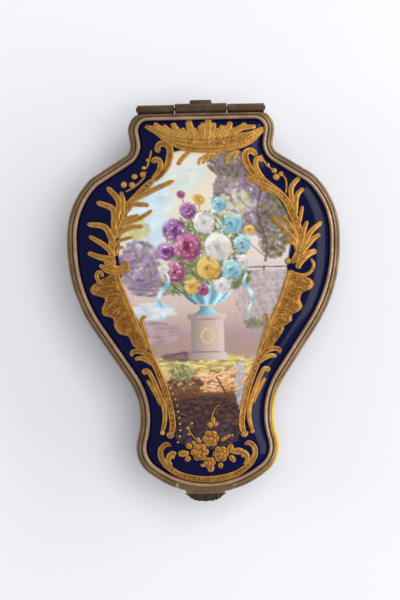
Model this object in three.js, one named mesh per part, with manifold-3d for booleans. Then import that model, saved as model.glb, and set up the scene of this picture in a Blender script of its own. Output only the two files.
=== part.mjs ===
// A hinged porcelain box whose outline is a baluster vase seen from the front. The deep lower shell and the
// domed lid plaque are porcelain. Each is gripped by a reeded brass mount, bedded in plaster. The mounts are
// joined by a three-knuckle hinge behind, and carry a scalloped thumbpiece and a spring catch in front.
// Millimetres, +Z up. The hinge is at +Y, the thumbpiece at -Y, and the box stands on its foot ring at Z = 0.
import * as THREE from "three";
import { mergeVertices } from "three/addons/utils/BufferGeometryUtils.js";
import Module from "manifold-3d";

const wasm = await Module();
wasm.setup();

// Corners of the mounts' outline, seen from above, before they are rounded. Y is counted from the belly line.
const backEdgeY = 59.7;
const backCornerX = 28.7;
const backCornerRadius = 7.5;
const upperNeckX = 26.1;
const upperNeckY = 44.6;
const upperNeckRadius = 4.4;
const shoulderX = 42.0;
const shoulderY = 34.7;
const shoulderRadius = 13.9;
const bellyX = 51.1;
const bellyY = 23.4;
const bellyRadius = 31.0;
const flankX = 50.6;
const flankY = -8.2;
const flankRadius = 56.0;
const lowerNeckX = 22.8;
const lowerNeckY = -49.9;
const lowerNeckRadius = 26.0;
const footCornerX = 28.3;
const footCornerY = -70.6;
const footCornerRadius = 12.0;
const frontPointY = -91.9;
const frontRadius = 35.0;
const leastRadius = 2.5;

// The seam between the mounts, over the table, and the daylight in it.
const seamZ = 35.0;
const seamGap = 0.3;

// Lower shell.
const wallThickness = 3.0;
const floorThickness = 2.4;
const footRingHeight = 1.8;
const footRingWidth = 2.2;
const wallDraft = 0.8;
const heelDepth = 5.2;
const heelHeight = 9.0;
const insideHeel = 4.5;

// Lid plaque. The dome rises quickly near its edge and hardly any more past the reach.
const plaqueThickness = 2.6;
const domeRise = 6.8;
const domeReach = 7.0;

// Mounts: a flange along the seam, a web that holds the porcelain's edge, two reeds outside it and a lip.
const flangeThickness = 0.75;
const flangeOverhang = 0.2;
const outerReedRadius = 0.95;
const innerReedRadius = 0.6;
const reedOverlap = 0.11;
const reedRise = 124;
const webThickness = 0.4;
const lipRadius = 0.8;
const lipHeight = 3.15;
const beddingThickness = 0.4;
const seatGap = 0.15;

// Hinge.
const hingeLength = 47.2;
const middleKnuckleLength = 19.3;
const knuckleGap = 0.25;
const knuckleRadius = 1.6;
const middleKnuckleRadius = 1.95;
const pinRadius = 0.6;
const pinClearance = 0.08;
const pinHeadRadius = 0.95;
const pinHeadLength = 0.35;
const hingeCutDepth = 1.5;
const hingeEndGap = 0.7;
const barrelClearance = 0.15;
const leafThickness = 0.6;
const leafWidth = 23.0;
const leafHeight = 2.5;
const leafEndGap = 0.4;
const leafGap = 0.1;

// Stop tab, which meets the lower mount when the lid is fully open.
const openAngle = 110;
const stopWidth = 8.2;
const stopReach = 3.25;
const stopThickness = 0.8;
const stopCorner = 0.9;
const stopGap = 0.05;

// Thumbpiece, its base plate and its rivets.
const thumbX = -1.1;
const thumbWidth = 15.2;
const thumbReach = 3.1;
const thumbFlutes = 13;
const fluteDepth = 0.25;
const thumbStep = 1.2;
const thumbDrop = 2.2;
const thumbLayer = 0.8;
const thumbGap = 0.35;
const baseWidth = 20.0;
const baseDepth = 2.25;
const baseGap = 0.1;
const rivetRadius = 0.5;
const rivetHeadRadius = 0.75;
const rivetHeadHeight = 0.3;
const rivetInset = 1.45;
const rivetSpan = 7.25;
const rivetFromThumb = -1.0;
const rivetGap = 0.06;

// Spring catch inside the front.
const catchWidth = 5.0;
const catchThickness = 0.6;
const catchLength = 6.2;
const catchGap = 0.3;
const nibHeight = 0.9;
const nibReach = 0.15;
const nibDrop = 1.5;

// Places and heights worked out from the sizes above. Offsets are counted outwards from the outline.
const reedSpacing = outerReedRadius + innerReedRadius - reedOverlap;
const [innerReedX, innerReedHeight] = onArc(-outerReedRadius, outerReedRadius, reedSpacing, reedRise);
const webOuter = innerReedX - innerReedRadius;
const webInner = webOuter - webThickness;
const lipCentre = webOuter - lipRadius;
const lipInner = lipCentre - lipRadius;
const porcelainEdge = webInner - beddingThickness;
const flangeInner = porcelainEdge - wallThickness - flangeOverhang;
const lidSeamZ = seamZ + seamGap / 2;
const bodySeamZ = seamZ - seamGap / 2;
const mountHeight = lipHeight + lipRadius;
const hingeFaceY = backEdgeY - hingeCutDepth;
const leafFaceY = hingeFaceY - leafThickness;
const hingeY = hingeFaceY + barrelClearance + middleKnuckleRadius;
const backmostY = hingeY + stopReach;
const frontEdgeY = loopPoints(0).reduce((least, p) => Math.min(least, p.y), 0);
const frontmostY = frontEdgeY - thumbReach;
const frontZoneY = frontEdgeY + footCornerX;
const baseFloorZ = lidSeamZ + flangeThickness + baseGap;
const baseTopZ = baseFloorZ + baseGap + thumbLayer;

// The outline's corners, counter-clockwise from the front point, each with the steps that its round takes.
function outlineCorners() {
  const right = [
    [footCornerX, footCornerY, footCornerRadius, 6],
    [lowerNeckX, lowerNeckY, lowerNeckRadius, 6],
    [flankX, flankY, flankRadius, 6],
    [bellyX, bellyY, bellyRadius, 6],
    [shoulderX, shoulderY, shoulderRadius, 4],
    [upperNeckX, upperNeckY, upperNeckRadius, 4],
    [backCornerX, backEdgeY, backCornerRadius, 5],
  ];
  const left = right.map(([x, y, radius, steps]) => [-x, y, radius, steps]).reverse();
  return [[0, frontPointY, frontRadius, 6], ...right, ...left].map(([x, y, radius, steps]) => ({
    point: new THREE.Vector2(x, y),
    radius,
    steps,
  }));
}

// The outline moved outwards by offset, before its corners are rounded.
function movedCorners(offset) {
  const corners = outlineCorners();
  const before = (i) => (i + corners.length - 1) % corners.length;
  const after = (i) => (i + 1) % corners.length;
  const edges = corners.map(({ point }, i) => {
    const along = corners[after(i)].point.clone().sub(point).normalize();
    const outwards = new THREE.Vector2(along.y, -along.x);
    return { start: point.clone().addScaledVector(outwards, offset), along };
  });
  const moved = corners.map(({ radius, steps }, i) => {
    const [last, next] = [edges[before(i)], edges[i]];
    const turn = last.along.cross(next.along);
    const reach = next.start.clone().sub(last.start).cross(next.along) / turn;
    const side = Math.sign(turn);
    const halfTurn = Math.acos(last.along.dot(next.along)) / 2;
    return {
      point: last.start.clone().addScaledVector(last.along, reach),
      radius: Math.max(leastRadius, radius + side * offset),
      along: last.along,
      side,
      halfTurn,
      steps,
    };
  });
  // Where two rounds want more than the edge between them, both are made smaller.
  const tangent = ({ radius, halfTurn }) => radius * Math.tan(halfTurn);
  const shares = moved.map((corner, i) => {
    const next = moved[after(i)];
    return Math.min(1, next.point.distanceTo(corner.point) / (tangent(corner) + tangent(next)));
  });
  return moved.map((corner, i) => ({
    ...corner,
    radius: corner.radius * Math.min(shares[i], shares[before(i)]),
  }));
}

// Points of the moved and rounded outline, always the same number in the same order.
function loopPoints(offset) {
  return movedCorners(offset).flatMap(({ point, radius, along, side, halfTurn, steps }) => {
    const start = point.clone().addScaledVector(along, -radius * Math.tan(halfTurn));
    const inwards = new THREE.Vector2(-along.y, along.x).multiplyScalar(side * radius);
    const centre = start.clone().add(inwards);
    return Array.from({ length: steps + 1 }, (_, k) =>
      start.clone().rotateAround(centre, (2 * side * halfTurn * k) / steps),
    );
  });
}

function ring(offset, z) {
  return loopPoints(offset).map((p) => [p.x, p.y, z]);
}

function ringsOf(profile) {
  return profile.map(([offset, z]) => ring(offset, z));
}

// A point on a round, with its angle in degrees.
function onArc(centreX, centreY, radius, angle) {
  const turn = THREE.MathUtils.degToRad(angle);
  return [centreX + radius * Math.cos(turn), centreY + radius * Math.sin(turn)];
}

function arcPoints(centreX, centreY, radius, from, to, steps) {
  return Array.from({ length: steps + 1 }, (_, k) =>
    onArc(centreX, centreY, radius, from + ((to - from) * k) / steps),
  );
}

// A solid from rings of [x, y, z] points. The stack runs round to its start, or has a fan at each end.
function solidFromRings(rings, runsRound) {
  const size = rings[0].length;
  const positions = rings.flat(2);
  const index = [];
  const strips = runsRound ? rings.length : rings.length - 1;
  for (let k = 0; k < strips; k += 1) {
    const low = k * size;
    const high = ((k + 1) % rings.length) * size;
    for (let i = 0; i < size; i += 1) {
      const j = (i + 1) % size;
      index.push(low + i, low + j, high + j, low + i, high + j, high + i);
    }
  }
  if (!runsRound) {
    addFan(positions, index, rings[0], 0, true);
    addFan(positions, index, rings.at(-1), (rings.length - 1) * size, false);
  }
  const geometry = new THREE.BufferGeometry();
  geometry.setAttribute("position", new THREE.Float32BufferAttribute(positions, 3));
  geometry.setIndex(index);
  return toSolid(geometry);
}

// Closes a ring with triangles that meet on the belly line, where the whole outline is in sight.
function addFan(positions, index, points, start, facesBack) {
  const middle = positions.length / 3;
  positions.push(0, 0, points[0][2]);
  points.forEach((_, i) => {
    const [a, b] = [start + i, start + ((i + 1) % points.length)];
    index.push(middle, ...(facesBack ? [b, a] : [a, b]));
  });
}

// A closed geometry as a solid, with its faces turned outwards.
function toSolid(geometry) {
  const bare = geometry.clone();
  bare.deleteAttribute("normal");
  bare.deleteAttribute("uv");
  const merged = mergeVertices(bare, 1e-5);
  const vertProperties = merged.attributes.position.array;
  const triVerts = new Uint32Array(merged.index.array);
  const solid = new wasm.Manifold(new wasm.Mesh({ numProp: 3, vertProperties, triVerts }));
  if (solid.volume() > 0) {
    return solid;
  }
  return new wasm.Manifold(
    new wasm.Mesh({ numProp: 3, vertProperties, triVerts: triVerts.slice().reverse() }),
  );
}

// Everything inside the moved outline, between two heights.
function loopPrism(offset, lowZ, highZ) {
  return solidFromRings([ring(offset, lowZ), ring(offset, highZ)], false);
}

function block([lowX, highX], [lowY, highY], [lowZ, highZ]) {
  const geometry = new THREE.BoxGeometry(highX - lowX, highY - lowY, highZ - lowZ);
  geometry.translate((lowX + highX) / 2, (lowY + highY) / 2, (lowZ + highZ) / 2);
  return toSolid(geometry);
}

// A round bar along the hinge's axis. All of them have their flats in line, so that they run in each other.
function hingeBar(radius, lowX, highX) {
  const geometry = new THREE.CylinderGeometry(radius, radius, highX - lowX, 24);
  geometry.rotateZ(Math.PI / 2);
  geometry.translate((lowX + highX) / 2, hingeY, seamZ);
  return toSolid(geometry);
}

function post(radius, [x, y], lowZ, highZ) {
  const geometry = new THREE.CylinderGeometry(radius, radius, highZ - lowZ, 16);
  geometry.rotateX(Math.PI / 2);
  geometry.translate(x, y, (lowZ + highZ) / 2);
  return toSolid(geometry);
}

function extrude(shape, lowZ, highZ) {
  const settings = { depth: highZ - lowZ, bevelEnabled: false, curveSegments: 6 };
  const geometry = new THREE.ExtrudeGeometry(shape, settings);
  geometry.translate(0, 0, lowZ);
  return toSolid(geometry);
}

// A mount's section as [offset, height over the seam face]: out along the flange, up over the reeds and the
// edge given, and back down inside the web. The reeds' rounds stop where they meet.
function mountSection(edge) {
  const meetAngle = (radius, other) =>
    THREE.MathUtils.radToDeg(
      Math.acos((reedSpacing ** 2 + radius ** 2 - other ** 2) / (2 * reedSpacing * radius)),
    );
  const outerEnd = reedRise - meetAngle(outerReedRadius, innerReedRadius);
  const innerStart = reedRise - 180 + meetAngle(innerReedRadius, outerReedRadius);
  return [
    [flangeInner, 0],
    ...arcPoints(-outerReedRadius, outerReedRadius, outerReedRadius, -60, outerEnd, 5),
    ...arcPoints(innerReedX, innerReedHeight, innerReedRadius, innerStart, 180, 4),
    ...edge,
    [webInner, flangeThickness],
    [flangeInner, flangeThickness],
  ];
}

function lidMountSolid() {
  const lip = arcPoints(lipCentre, lipHeight, lipRadius, 0, 180, 5);
  const section = mountSection([...lip, [webInner, lipHeight]]);
  const mount = solidFromRings(ringsOf(section.map(([offset, h]) => [offset, lidSeamZ + h])), true);
  const cuts = [hingeCut(), lidLeafRecess(), basePlateRecess(), ...rivetHoles()];
  return cuts.reduce((solid, cut) => solid.subtract(cut), mount);
}

// The lower mount is the same below the seam, but its edge turns in no further than the web.
function lowerMountSolid() {
  const webAngle = THREE.MathUtils.radToDeg(Math.acos(1 - webThickness / lipRadius));
  const section = mountSection(arcPoints(lipCentre, lipHeight, lipRadius, 0, webAngle, 2));
  const mount = solidFromRings(ringsOf(section.map(([offset, h]) => [offset, bodySeamZ - h])), true);
  const cuts = [hingeCut(), ...[-1, 1].map(lowerLeafRecess)];
  return cuts.reduce((solid, cut) => solid.subtract(cut), mount);
}

// The plaster that fills the space between a mount's web and the porcelain's edge.
function beddingSolid(seam, sign, height) {
  const [near, far] = [seam + sign * flangeThickness, seam + sign * height];
  const section = [
    [webInner, near],
    [porcelainEdge, near],
    [porcelainEdge, far],
    [webInner, far],
  ];
  return solidFromRings(ringsOf(section), true);
}

// The reeds stop here, so that the hinge lies against flat faces.
function hingeCut() {
  const half = hingeLength / 2 + hingeEndGap;
  return block([-half, half], [hingeFaceY, backmostY], [0, 2 * seamZ]);
}

function lidLeafRecess() {
  const half = leafWidth / 2 + leafEndGap;
  const top = lidSeamZ + leafHeight + leafGap;
  return block([-half, half], [leafFaceY - leafGap, backEdgeY], [seamZ, top]);
}

function lowerLeafRecess(side) {
  const [low, high] = outerKnuckleSpan(side);
  const floor = bodySeamZ - leafHeight - leafGap;
  return block([low - leafEndGap, high + leafEndGap], [leafFaceY - leafGap, backEdgeY], [floor, seamZ]);
}

function outerKnuckleSpan(side) {
  const near = middleKnuckleLength / 2 + knuckleGap;
  const far = hingeLength / 2;
  return side > 0 ? [near, far] : [-far, -near];
}

// A leaf plate let into its mount, the knuckle, and the foot between them. The sign is 1 over the seam.
function leafSolid(plateSpan, knuckleSpan, radius, sign) {
  const seam = sign > 0 ? lidSeamZ : bodySeamZ;
  const heights = (reach) => [seam, seam + sign * reach].sort((a, b) => a - b);
  const plate = block(plateSpan, [leafFaceY, hingeFaceY], heights(leafHeight));
  const foot = block(knuckleSpan, [leafFaceY, hingeY - radius / 2], heights(radius / 2));
  const bore = hingeBar(pinRadius + pinClearance, -hingeLength, hingeLength);
  return plate
    .add(foot)
    .add(hingeBar(radius, ...knuckleSpan))
    .subtract(bore);
}

function lidLeafSolid() {
  const centred = (width) => [-width / 2, width / 2];
  return leafSolid(centred(leafWidth), centred(middleKnuckleLength), middleKnuckleRadius, 1);
}

function lowerLeafSolid(side) {
  const span = outerKnuckleSpan(side);
  return leafSolid(span, span, knuckleRadius, -1);
}

// The pin, upset into a low head at each end.
function pinSolid() {
  const half = hingeLength / 2 + seatGap;
  const end = half + pinHeadLength;
  return hingeBar(pinRadius, -end, end)
    .add(hingeBar(pinHeadRadius, -end, -half))
    .add(hingeBar(pinHeadRadius, half, end));
}

// The stop tab, soldered behind the middle knuckle as low as the fully open lid needs.
function stopSolid() {
  const turn = THREE.MathUtils.degToRad(openAngle);
  const meets = (-(hingeY - hingeFaceY) - stopReach * Math.cos(turn)) / Math.sin(turn);
  const lowZ = seamZ + meets + seatGap;
  const half = stopWidth / 2;
  const shape = new THREE.Shape();
  shape.moveTo(-half, hingeY + middleKnuckleRadius / 2);
  shape.lineTo(half, hingeY + middleKnuckleRadius / 2);
  shape.lineTo(half, backmostY - stopCorner);
  shape.quadraticCurveTo(half, backmostY, half - stopCorner, backmostY);
  shape.lineTo(stopCorner - half, backmostY);
  shape.quadraticCurveTo(-half, backmostY, -half, backmostY - stopCorner);
  shape.closePath();
  const seat = hingeBar(middleKnuckleRadius + stopGap, -stopWidth, stopWidth);
  return extrude(shape, lowZ, lowZ + stopThickness).subtract(seat);
}

// How deep a point lies inside the plaque. It is the distance to a long straight edge, and less in a corner
// or a neck, where more than one edge is near, so it changes smoothly all over.
function depthFinder() {
  const points = loopPoints(porcelainEdge);
  const leastAside = 1e-4;
  return (x, y) => {
    const sum = points.reduce((total, a, i) => {
      const edge = points[(i + 1) % points.length].clone().sub(a);
      const length = edge.length();
      const along = edge.normalize();
      const from = new THREE.Vector2(a.x - x, a.y - y);
      const start = from.dot(along);
      const aside = Math.max(leastAside, from.cross(along) ** 2);
      const part = (t) => t / (aside * Math.sqrt(t * t + aside));
      return total + part(start + length) - part(start);
    }, 0);
    return Math.sqrt(2 / sum);
  };
}

// The plaque: its edge lies under the lid mount's lip, its top is a dome and its underside follows the dome.
function plaqueSolid() {
  const depthAt = depthFinder();
  const rise = (depth) => domeRise * (1 - Math.exp(-depth / domeReach));
  const edgeTopZ = lidSeamZ + lipHeight - seatGap - rise(porcelainEdge - lipInner);
  const seatZ = lidSeamZ + flangeThickness + seatGap;
  const onDome = (points, drop) => points.map((p) => [p.x, p.y, edgeTopZ + rise(depthAt(p.x, p.y)) - drop]);
  const inwards = (offset) => [1, 0.86, 0.66, 0.42, 0.18].map((share) =>
    loopPoints(offset).map((p) => p.multiplyScalar(share)),
  );
  const depths = [0.09, 0.23, 0.46].map((share) => share * domeReach);
  const over = [
    ring(porcelainEdge, edgeTopZ),
    ...depths.map((depth) => onDome(loopPoints(porcelainEdge - depth), 0)),
    ...inwards(porcelainEdge - 0.72 * domeReach).map((points) => onDome(points, 0)),
  ];
  const under = [
    ring(porcelainEdge, seatZ),
    ring(flangeInner, seatZ),
    ...inwards(flangeInner - flangeOverhang).map((points) => onDome(points, plaqueThickness)),
  ];
  return solidFromRings([...under.reverse(), ...over], false);
}

// The lower shell: from the floor up the inside, over the rim, down the outside and round the foot ring.
function lowerShellSolid() {
  const topZ = bodySeamZ - flangeThickness - seatGap;
  const floorZ = footRingHeight + floorThickness;
  const innerEdge = porcelainEdge - wallThickness;
  const footOuter = porcelainEdge - heelDepth;
  const footInner = footOuter - footRingWidth;
  const wallFoot = porcelainEdge - wallDraft;
  const heelDrop = heelHeight - footRingHeight;
  return solidFromRings(
    ringsOf([
      [innerEdge - insideHeel, floorZ],
      [innerEdge - insideHeel * 0.4, floorZ + insideHeel * 0.35],
      [innerEdge - wallDraft, floorZ + insideHeel],
      [innerEdge, topZ],
      [porcelainEdge, topZ],
      [porcelainEdge, bodySeamZ - mountHeight],
      [wallFoot, heelHeight],
      [wallFoot + (footOuter - wallFoot) * 0.25, heelHeight - heelDrop * 0.55],
      [wallFoot + (footOuter - wallFoot) * 0.7, heelHeight - heelDrop * 0.9],
      [footOuter, footRingHeight],
      [footOuter, 0],
      [footInner, 0],
      [footInner, footRingHeight],
    ]),
    false,
  );
}

// One layer of the thumbpiece, seen from above: a squarish fluted shell that ends at a straight back.
function shellShape(inset, backY) {
  const halfWidth = thumbWidth / 2 - inset;
  const centreY = frontEdgeY + thumbReach;
  const depth = 2 * thumbReach - inset;
  const perFlute = 4;
  const steps = thumbFlutes * perFlute;
  const squared = (t) => Math.sign(t) * Math.abs(t) ** 0.75;
  const fluted = Array.from({ length: steps + 1 }, (_, k) => {
    const angle = Math.PI * (1 + k / steps);
    const notch = fluteDepth * (1 - Math.abs(Math.sin((Math.PI * k) / perFlute)));
    const x = thumbX + (halfWidth - notch) * squared(Math.cos(angle));
    return [x, centreY + (depth - notch) * squared(Math.sin(angle))];
  }).filter(([, y]) => y < backY);
  const shape = new THREE.Shape();
  shape.moveTo(thumbX + halfWidth, backY);
  shape.lineTo(thumbX - halfWidth, backY);
  fluted.forEach(([x, y]) => shape.lineTo(x, y));
  shape.closePath();
  return shape;
}

// The thumbpiece: a skirt that hangs clear of the lower mount, two steps above it, and the base plate.
function thumbpieceSolid() {
  const skirtBack = frontEdgeY - thumbGap;
  const skirt = extrude(shellShape(0, skirtBack), lidSeamZ - thumbDrop, baseTopZ - thumbLayer / 2);
  const bottomZ = baseTopZ - thumbLayer;
  const lowerStep = extrude(shellShape(thumbStep, frontEdgeY), bottomZ, baseTopZ);
  const upperBack = frontEdgeY + rivetInset - rivetHeadRadius - rivetGap;
  const upperStep = extrude(shellShape(2 * thumbStep, upperBack), bottomZ, baseTopZ + thumbLayer);
  const half = baseWidth / 2;
  const bridge = extrude(shellShape(0, frontEdgeY + rivetInset), bottomZ, baseTopZ);
  const plate = block([thumbX - half, thumbX + half], [skirtBack - thumbGap, frontZoneY], [bottomZ, baseTopZ])
    .subtract(loopPrism(-baseDepth, 0, 2 * baseTopZ))
    .intersect(loopPrism(0, 0, 2 * baseTopZ).add(bridge));
  const whole = skirt.add(lowerStep).add(upperStep).add(plate);
  return rivetHoles().reduce((solid, hole) => solid.subtract(hole), whole);
}

// The base plate takes the place of the reeds' tops, down to a floor just over the flange.
function basePlateRecess() {
  const half = baseWidth / 2 + baseGap;
  const zone = block([thumbX - half, thumbX + half], [frontmostY, frontZoneY], [baseFloorZ, 2 * baseTopZ]);
  return zone.subtract(loopPrism(-baseDepth - baseGap, 0, 3 * baseTopZ));
}

// The middle rivet and the left one.
function rivetPlaces() {
  const [middleX, leftX] = [0, 1].map((k) => thumbX + rivetFromThumb - k * rivetSpan);
  return { middle: [middleX, frontAt(middleX) + rivetInset], left: [leftX, frontAt(leftX) + rivetInset] };
}

// Y of the outline's front at a given X.
function frontAt(x) {
  const points = loopPoints(0);
  const i = points.findIndex((a, k) => {
    const b = points[(k + 1) % points.length];
    return a.y < footCornerY && a.x <= x && b.x > x;
  });
  const [a, b] = [points[i], points[(i + 1) % points.length]];
  return a.y + ((b.y - a.y) * (x - a.x)) / (b.x - a.x);
}

function rivetHoles() {
  return Object.values(rivetPlaces()).map((place) => post(rivetRadius + rivetGap, place, 0, 2 * seamZ));
}

function rivetSolid(place) {
  const shank = post(rivetRadius, place, lidSeamZ + seatGap, baseTopZ + rivetHeadHeight / 2);
  return shank.add(post(rivetHeadRadius, place, baseTopZ, baseTopZ + rivetHeadHeight));
}

// Part of the wall between two offsets, no wider than width about the thumbpiece.
function curvedStrip(outer, inner, width, lowZ, highZ) {
  const zone = block([thumbX - width / 2, thumbX + width / 2], [frontmostY, frontZoneY], [lowZ, highZ]);
  return zone.intersect(loopPrism(outer, 0, 2 * seamZ)).subtract(loopPrism(inner, 0, 2 * seamZ));
}

// The spring strip that hangs from the lid's flange, clear of the lower flange, with a nib that grips it.
function catchSolid() {
  const outer = flangeInner - catchGap;
  const inner = outer - catchThickness;
  const topZ = lidSeamZ + flangeThickness;
  const nibTopZ = bodySeamZ - flangeThickness - nibDrop;
  return curvedStrip(outer, inner, catchWidth, topZ - catchLength, topZ)
    .add(curvedStrip(flangeInner, inner, catchWidth, lidSeamZ, topZ))
    .add(curvedStrip(outer + nibReach, inner, catchWidth / 2, nibTopZ - nibHeight, nibTopZ));
}

const cobaltPorcelain = new THREE.MeshStandardMaterial({ color: 0x0d1246, roughness: 0.12, metalness: 0 });
const agedBrass = new THREE.MeshStandardMaterial({ color: 0x9a7445, roughness: 0.38, metalness: 1 });
const darkBrass = new THREE.MeshStandardMaterial({ color: 0x5c4a38, roughness: 0.5, metalness: 1 });
const plaster = new THREE.MeshStandardMaterial({ color: 0xd9d2c2, roughness: 0.95, metalness: 0 });

function addPiece(group, name, solid, material) {
  const { numVert, numProp, vertProperties, triVerts } = solid.getMesh();
  const positions = Float32Array.from({ length: 3 * numVert }, (_, i) =>
    vertProperties[Math.floor(i / 3) * numProp + (i % 3)],
  );
  const geometry = new THREE.BufferGeometry();
  geometry.setAttribute("position", new THREE.BufferAttribute(positions, 3));
  geometry.setIndex(new THREE.BufferAttribute(triVerts, 1));
  const mesh = new THREE.Mesh(geometry, material);
  mesh.name = name;
  group.add(mesh);
}

function makeBase() {
  const base = new THREE.Group();
  addPiece(base, "lower_shell", lowerShellSolid(), cobaltPorcelain);
  addPiece(base, "lower_bedding", beddingSolid(bodySeamZ, -1, lipHeight), plaster);
  addPiece(base, "lower_mount", lowerMountSolid(), agedBrass);
  addPiece(base, "hinge_leaf_left", lowerLeafSolid(-1), darkBrass);
  addPiece(base, "hinge_leaf_right", lowerLeafSolid(1), darkBrass);
  addPiece(base, "hinge_pin", pinSolid(), darkBrass);
  return base;
}

function makeLid() {
  const lid = new THREE.Group();
  addPiece(lid, "lid_plaque", plaqueSolid(), cobaltPorcelain);
  addPiece(lid, "lid_bedding", beddingSolid(lidSeamZ, 1, lipHeight - seatGap), plaster);
  addPiece(lid, "lid_mount", lidMountSolid(), agedBrass);
  addPiece(lid, "hinge_leaf_lid", lidLeafSolid(), darkBrass);
  addPiece(lid, "hinge_stop", stopSolid(), darkBrass);
  addPiece(lid, "thumbpiece", thumbpieceSolid(), darkBrass);
  Object.entries(rivetPlaces()).forEach(([name, place]) => {
    addPiece(lid, `thumbpiece_rivet_${name}`, rivetSolid(place), darkBrass);
  });
  addPiece(lid, "catch_spring", catchSolid(), agedBrass);
  return lid;
}

// The box's length is centred over the origin.
const box = new THREE.Group();
box.position.y = -(backmostY + frontmostY) / 2;
box.add(makeBase(), makeLid());

export default box;
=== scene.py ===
"""A vase-shaped porcelain box with a painted and gilded lid in reeded brass mounts, seen from above."""
import math

import bmesh
import bpy
import numpy as np
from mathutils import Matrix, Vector


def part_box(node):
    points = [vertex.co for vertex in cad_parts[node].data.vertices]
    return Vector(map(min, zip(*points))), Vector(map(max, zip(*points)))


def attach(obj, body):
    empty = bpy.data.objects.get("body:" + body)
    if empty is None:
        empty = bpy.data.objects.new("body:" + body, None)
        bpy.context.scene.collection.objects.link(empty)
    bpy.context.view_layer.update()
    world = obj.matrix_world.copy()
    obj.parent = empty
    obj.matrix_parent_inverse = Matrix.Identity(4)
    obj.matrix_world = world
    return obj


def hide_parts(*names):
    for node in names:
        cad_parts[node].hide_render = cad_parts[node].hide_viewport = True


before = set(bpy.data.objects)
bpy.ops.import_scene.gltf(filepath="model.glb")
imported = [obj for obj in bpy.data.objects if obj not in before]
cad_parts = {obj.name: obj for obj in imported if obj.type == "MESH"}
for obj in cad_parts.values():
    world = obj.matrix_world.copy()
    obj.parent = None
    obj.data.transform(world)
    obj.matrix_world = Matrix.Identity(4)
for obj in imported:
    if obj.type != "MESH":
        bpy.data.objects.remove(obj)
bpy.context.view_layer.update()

MM = 0.001
RNG = np.random.default_rng(11)

# Outline corners in millimetres from the belly line, with fillet radius and arc steps, front to back.
OUTLINE_RIGHT = [
    (28.3, -70.6, 12.0, 6),
    (22.8, -49.9, 26.0, 6),
    (50.6, -8.2, 56.0, 6),
    (51.1, 23.4, 31.0, 6),
    (42.0, 34.7, 13.9, 4),
    (26.1, 44.6, 4.4, 4),
    (28.7, 59.7, 7.5, 5),
]
FRONT_POINT = (0.0, -91.9, 35.0, 6)
LEAST_RADIUS = 2.5

# Heights over the table. The lid and the lower box each end half the gap away from the seam.
SEAM_Z = 35.0
SEAM_GAP = 0.3
LID_Z = SEAM_Z + SEAM_GAP / 2
BODY_Z = SEAM_Z - SEAM_GAP / 2

# Mount section, as offsets from the outline and heights over the seam face.
OUTER_REED = 0.95
INNER_REED = 0.6
REED_OVERLAP = 0.11
REED_SPACING = OUTER_REED + INNER_REED - REED_OVERLAP
REED_RISE = 124.0  # Degrees from the outer reed's centre to the inner one's.
WEB = 0.4
LIP_RADIUS = 0.8
LIP_HEIGHT = 3.15
FLANGE = 0.75
FLANGE_EDGE = -1.4
FLANGE_PROUD = 0.2
BEDDING = 0.4
SEAT_GAP = 0.15
WALL = 3.0
INNER_REED_X = -OUTER_REED + REED_SPACING * math.cos(math.radians(REED_RISE))
INNER_REED_H = OUTER_REED + REED_SPACING * math.sin(math.radians(REED_RISE))
WEB_OUTER = INNER_REED_X - INNER_REED
WEB_INNER = WEB_OUTER - WEB
LIP_CENTRE = WEB_OUTER - LIP_RADIUS
LIP_INNER = LIP_CENTRE - LIP_RADIUS
PORCELAIN_EDGE = WEB_INNER - BEDDING
FLANGE_INNER = PORCELAIN_EDGE - WALL - FLANGE_PROUD

# Dome of the lid. It rises from the edge by all but a share that falls off with the reach.
DOME_RISE = 6.8
DOME_REACH = 7.0
PLAQUE_THICKNESS = 2.6
LIP_DOME = DOME_RISE * (1 - math.exp(-(PORCELAIN_EDGE - LIP_INNER) / DOME_REACH))
EDGE_TOP_Z = LID_Z + LIP_HEIGHT - SEAT_GAP - LIP_DOME

# The hinge's axis lies this far behind the belly line, which gives the belly line's place in the frame.
HINGE_Y = 60.3
PIN_RADIUS = 0.95
SHIFT_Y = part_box("hinge_pin")[0][1] / MM + PIN_RADIUS - HINGE_Y
THUMB_X = -1.1


def loop_points(offset, density=1):
    """Points of the rounded outline moved outwards, counter-clockwise from the front, in millimetres."""
    corners = [FRONT_POINT] + OUTLINE_RIGHT + [(-x, y, r, s) for x, y, r, s in reversed(OUTLINE_RIGHT)]
    count = len(corners)
    places = np.array([(c[0], c[1]) for c in corners])
    along = np.roll(places, -1, axis=0) - places
    along /= np.linalg.norm(along, axis=1)[:, None]
    outwards = np.stack([along[:, 1], -along[:, 0]], axis=1)
    starts = places + outwards * offset
    moved = []
    for i in range(count):
        last, turn_to = along[i - 1], along[i]
        turn = last[0] * turn_to[1] - last[1] * turn_to[0]
        gap = starts[i] - starts[i - 1]
        reach = (gap[0] * turn_to[1] - gap[1] * turn_to[0]) / turn
        side = math.copysign(1.0, turn)
        half_turn = math.acos(float(np.clip(last @ turn_to, -1, 1))) / 2
        radius = max(LEAST_RADIUS, corners[i][2] + side * offset)
        moved.append((starts[i - 1] + last * reach, radius, last, side, half_turn, corners[i][3]))
    tangents = [m[1] * math.tan(m[4]) for m in moved]
    shares = []
    for i in range(count):
        room = float(np.linalg.norm(moved[(i + 1) % count][0] - moved[i][0]))
        shares.append(min(1.0, room / (tangents[i] + tangents[(i + 1) % count])))
    points = []
    for i, (point, radius, last, side, half_turn, steps) in enumerate(moved):
        radius *= min(shares[i], shares[i - 1])
        start = point - last * radius * math.tan(half_turn)
        centre = start + np.array([-last[1], last[0]]) * side * radius
        arm = start - centre
        for k in range(steps * density + 1):
            a = 2 * side * half_turn * k / (steps * density)
            c, s = math.cos(a), math.sin(a)
            points.append(centre + np.array([arm[0] * c - arm[1] * s, arm[0] * s + arm[1] * c]))
    return np.array(points)


DOME_LOOP = loop_points(PORCELAIN_EDGE)


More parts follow.
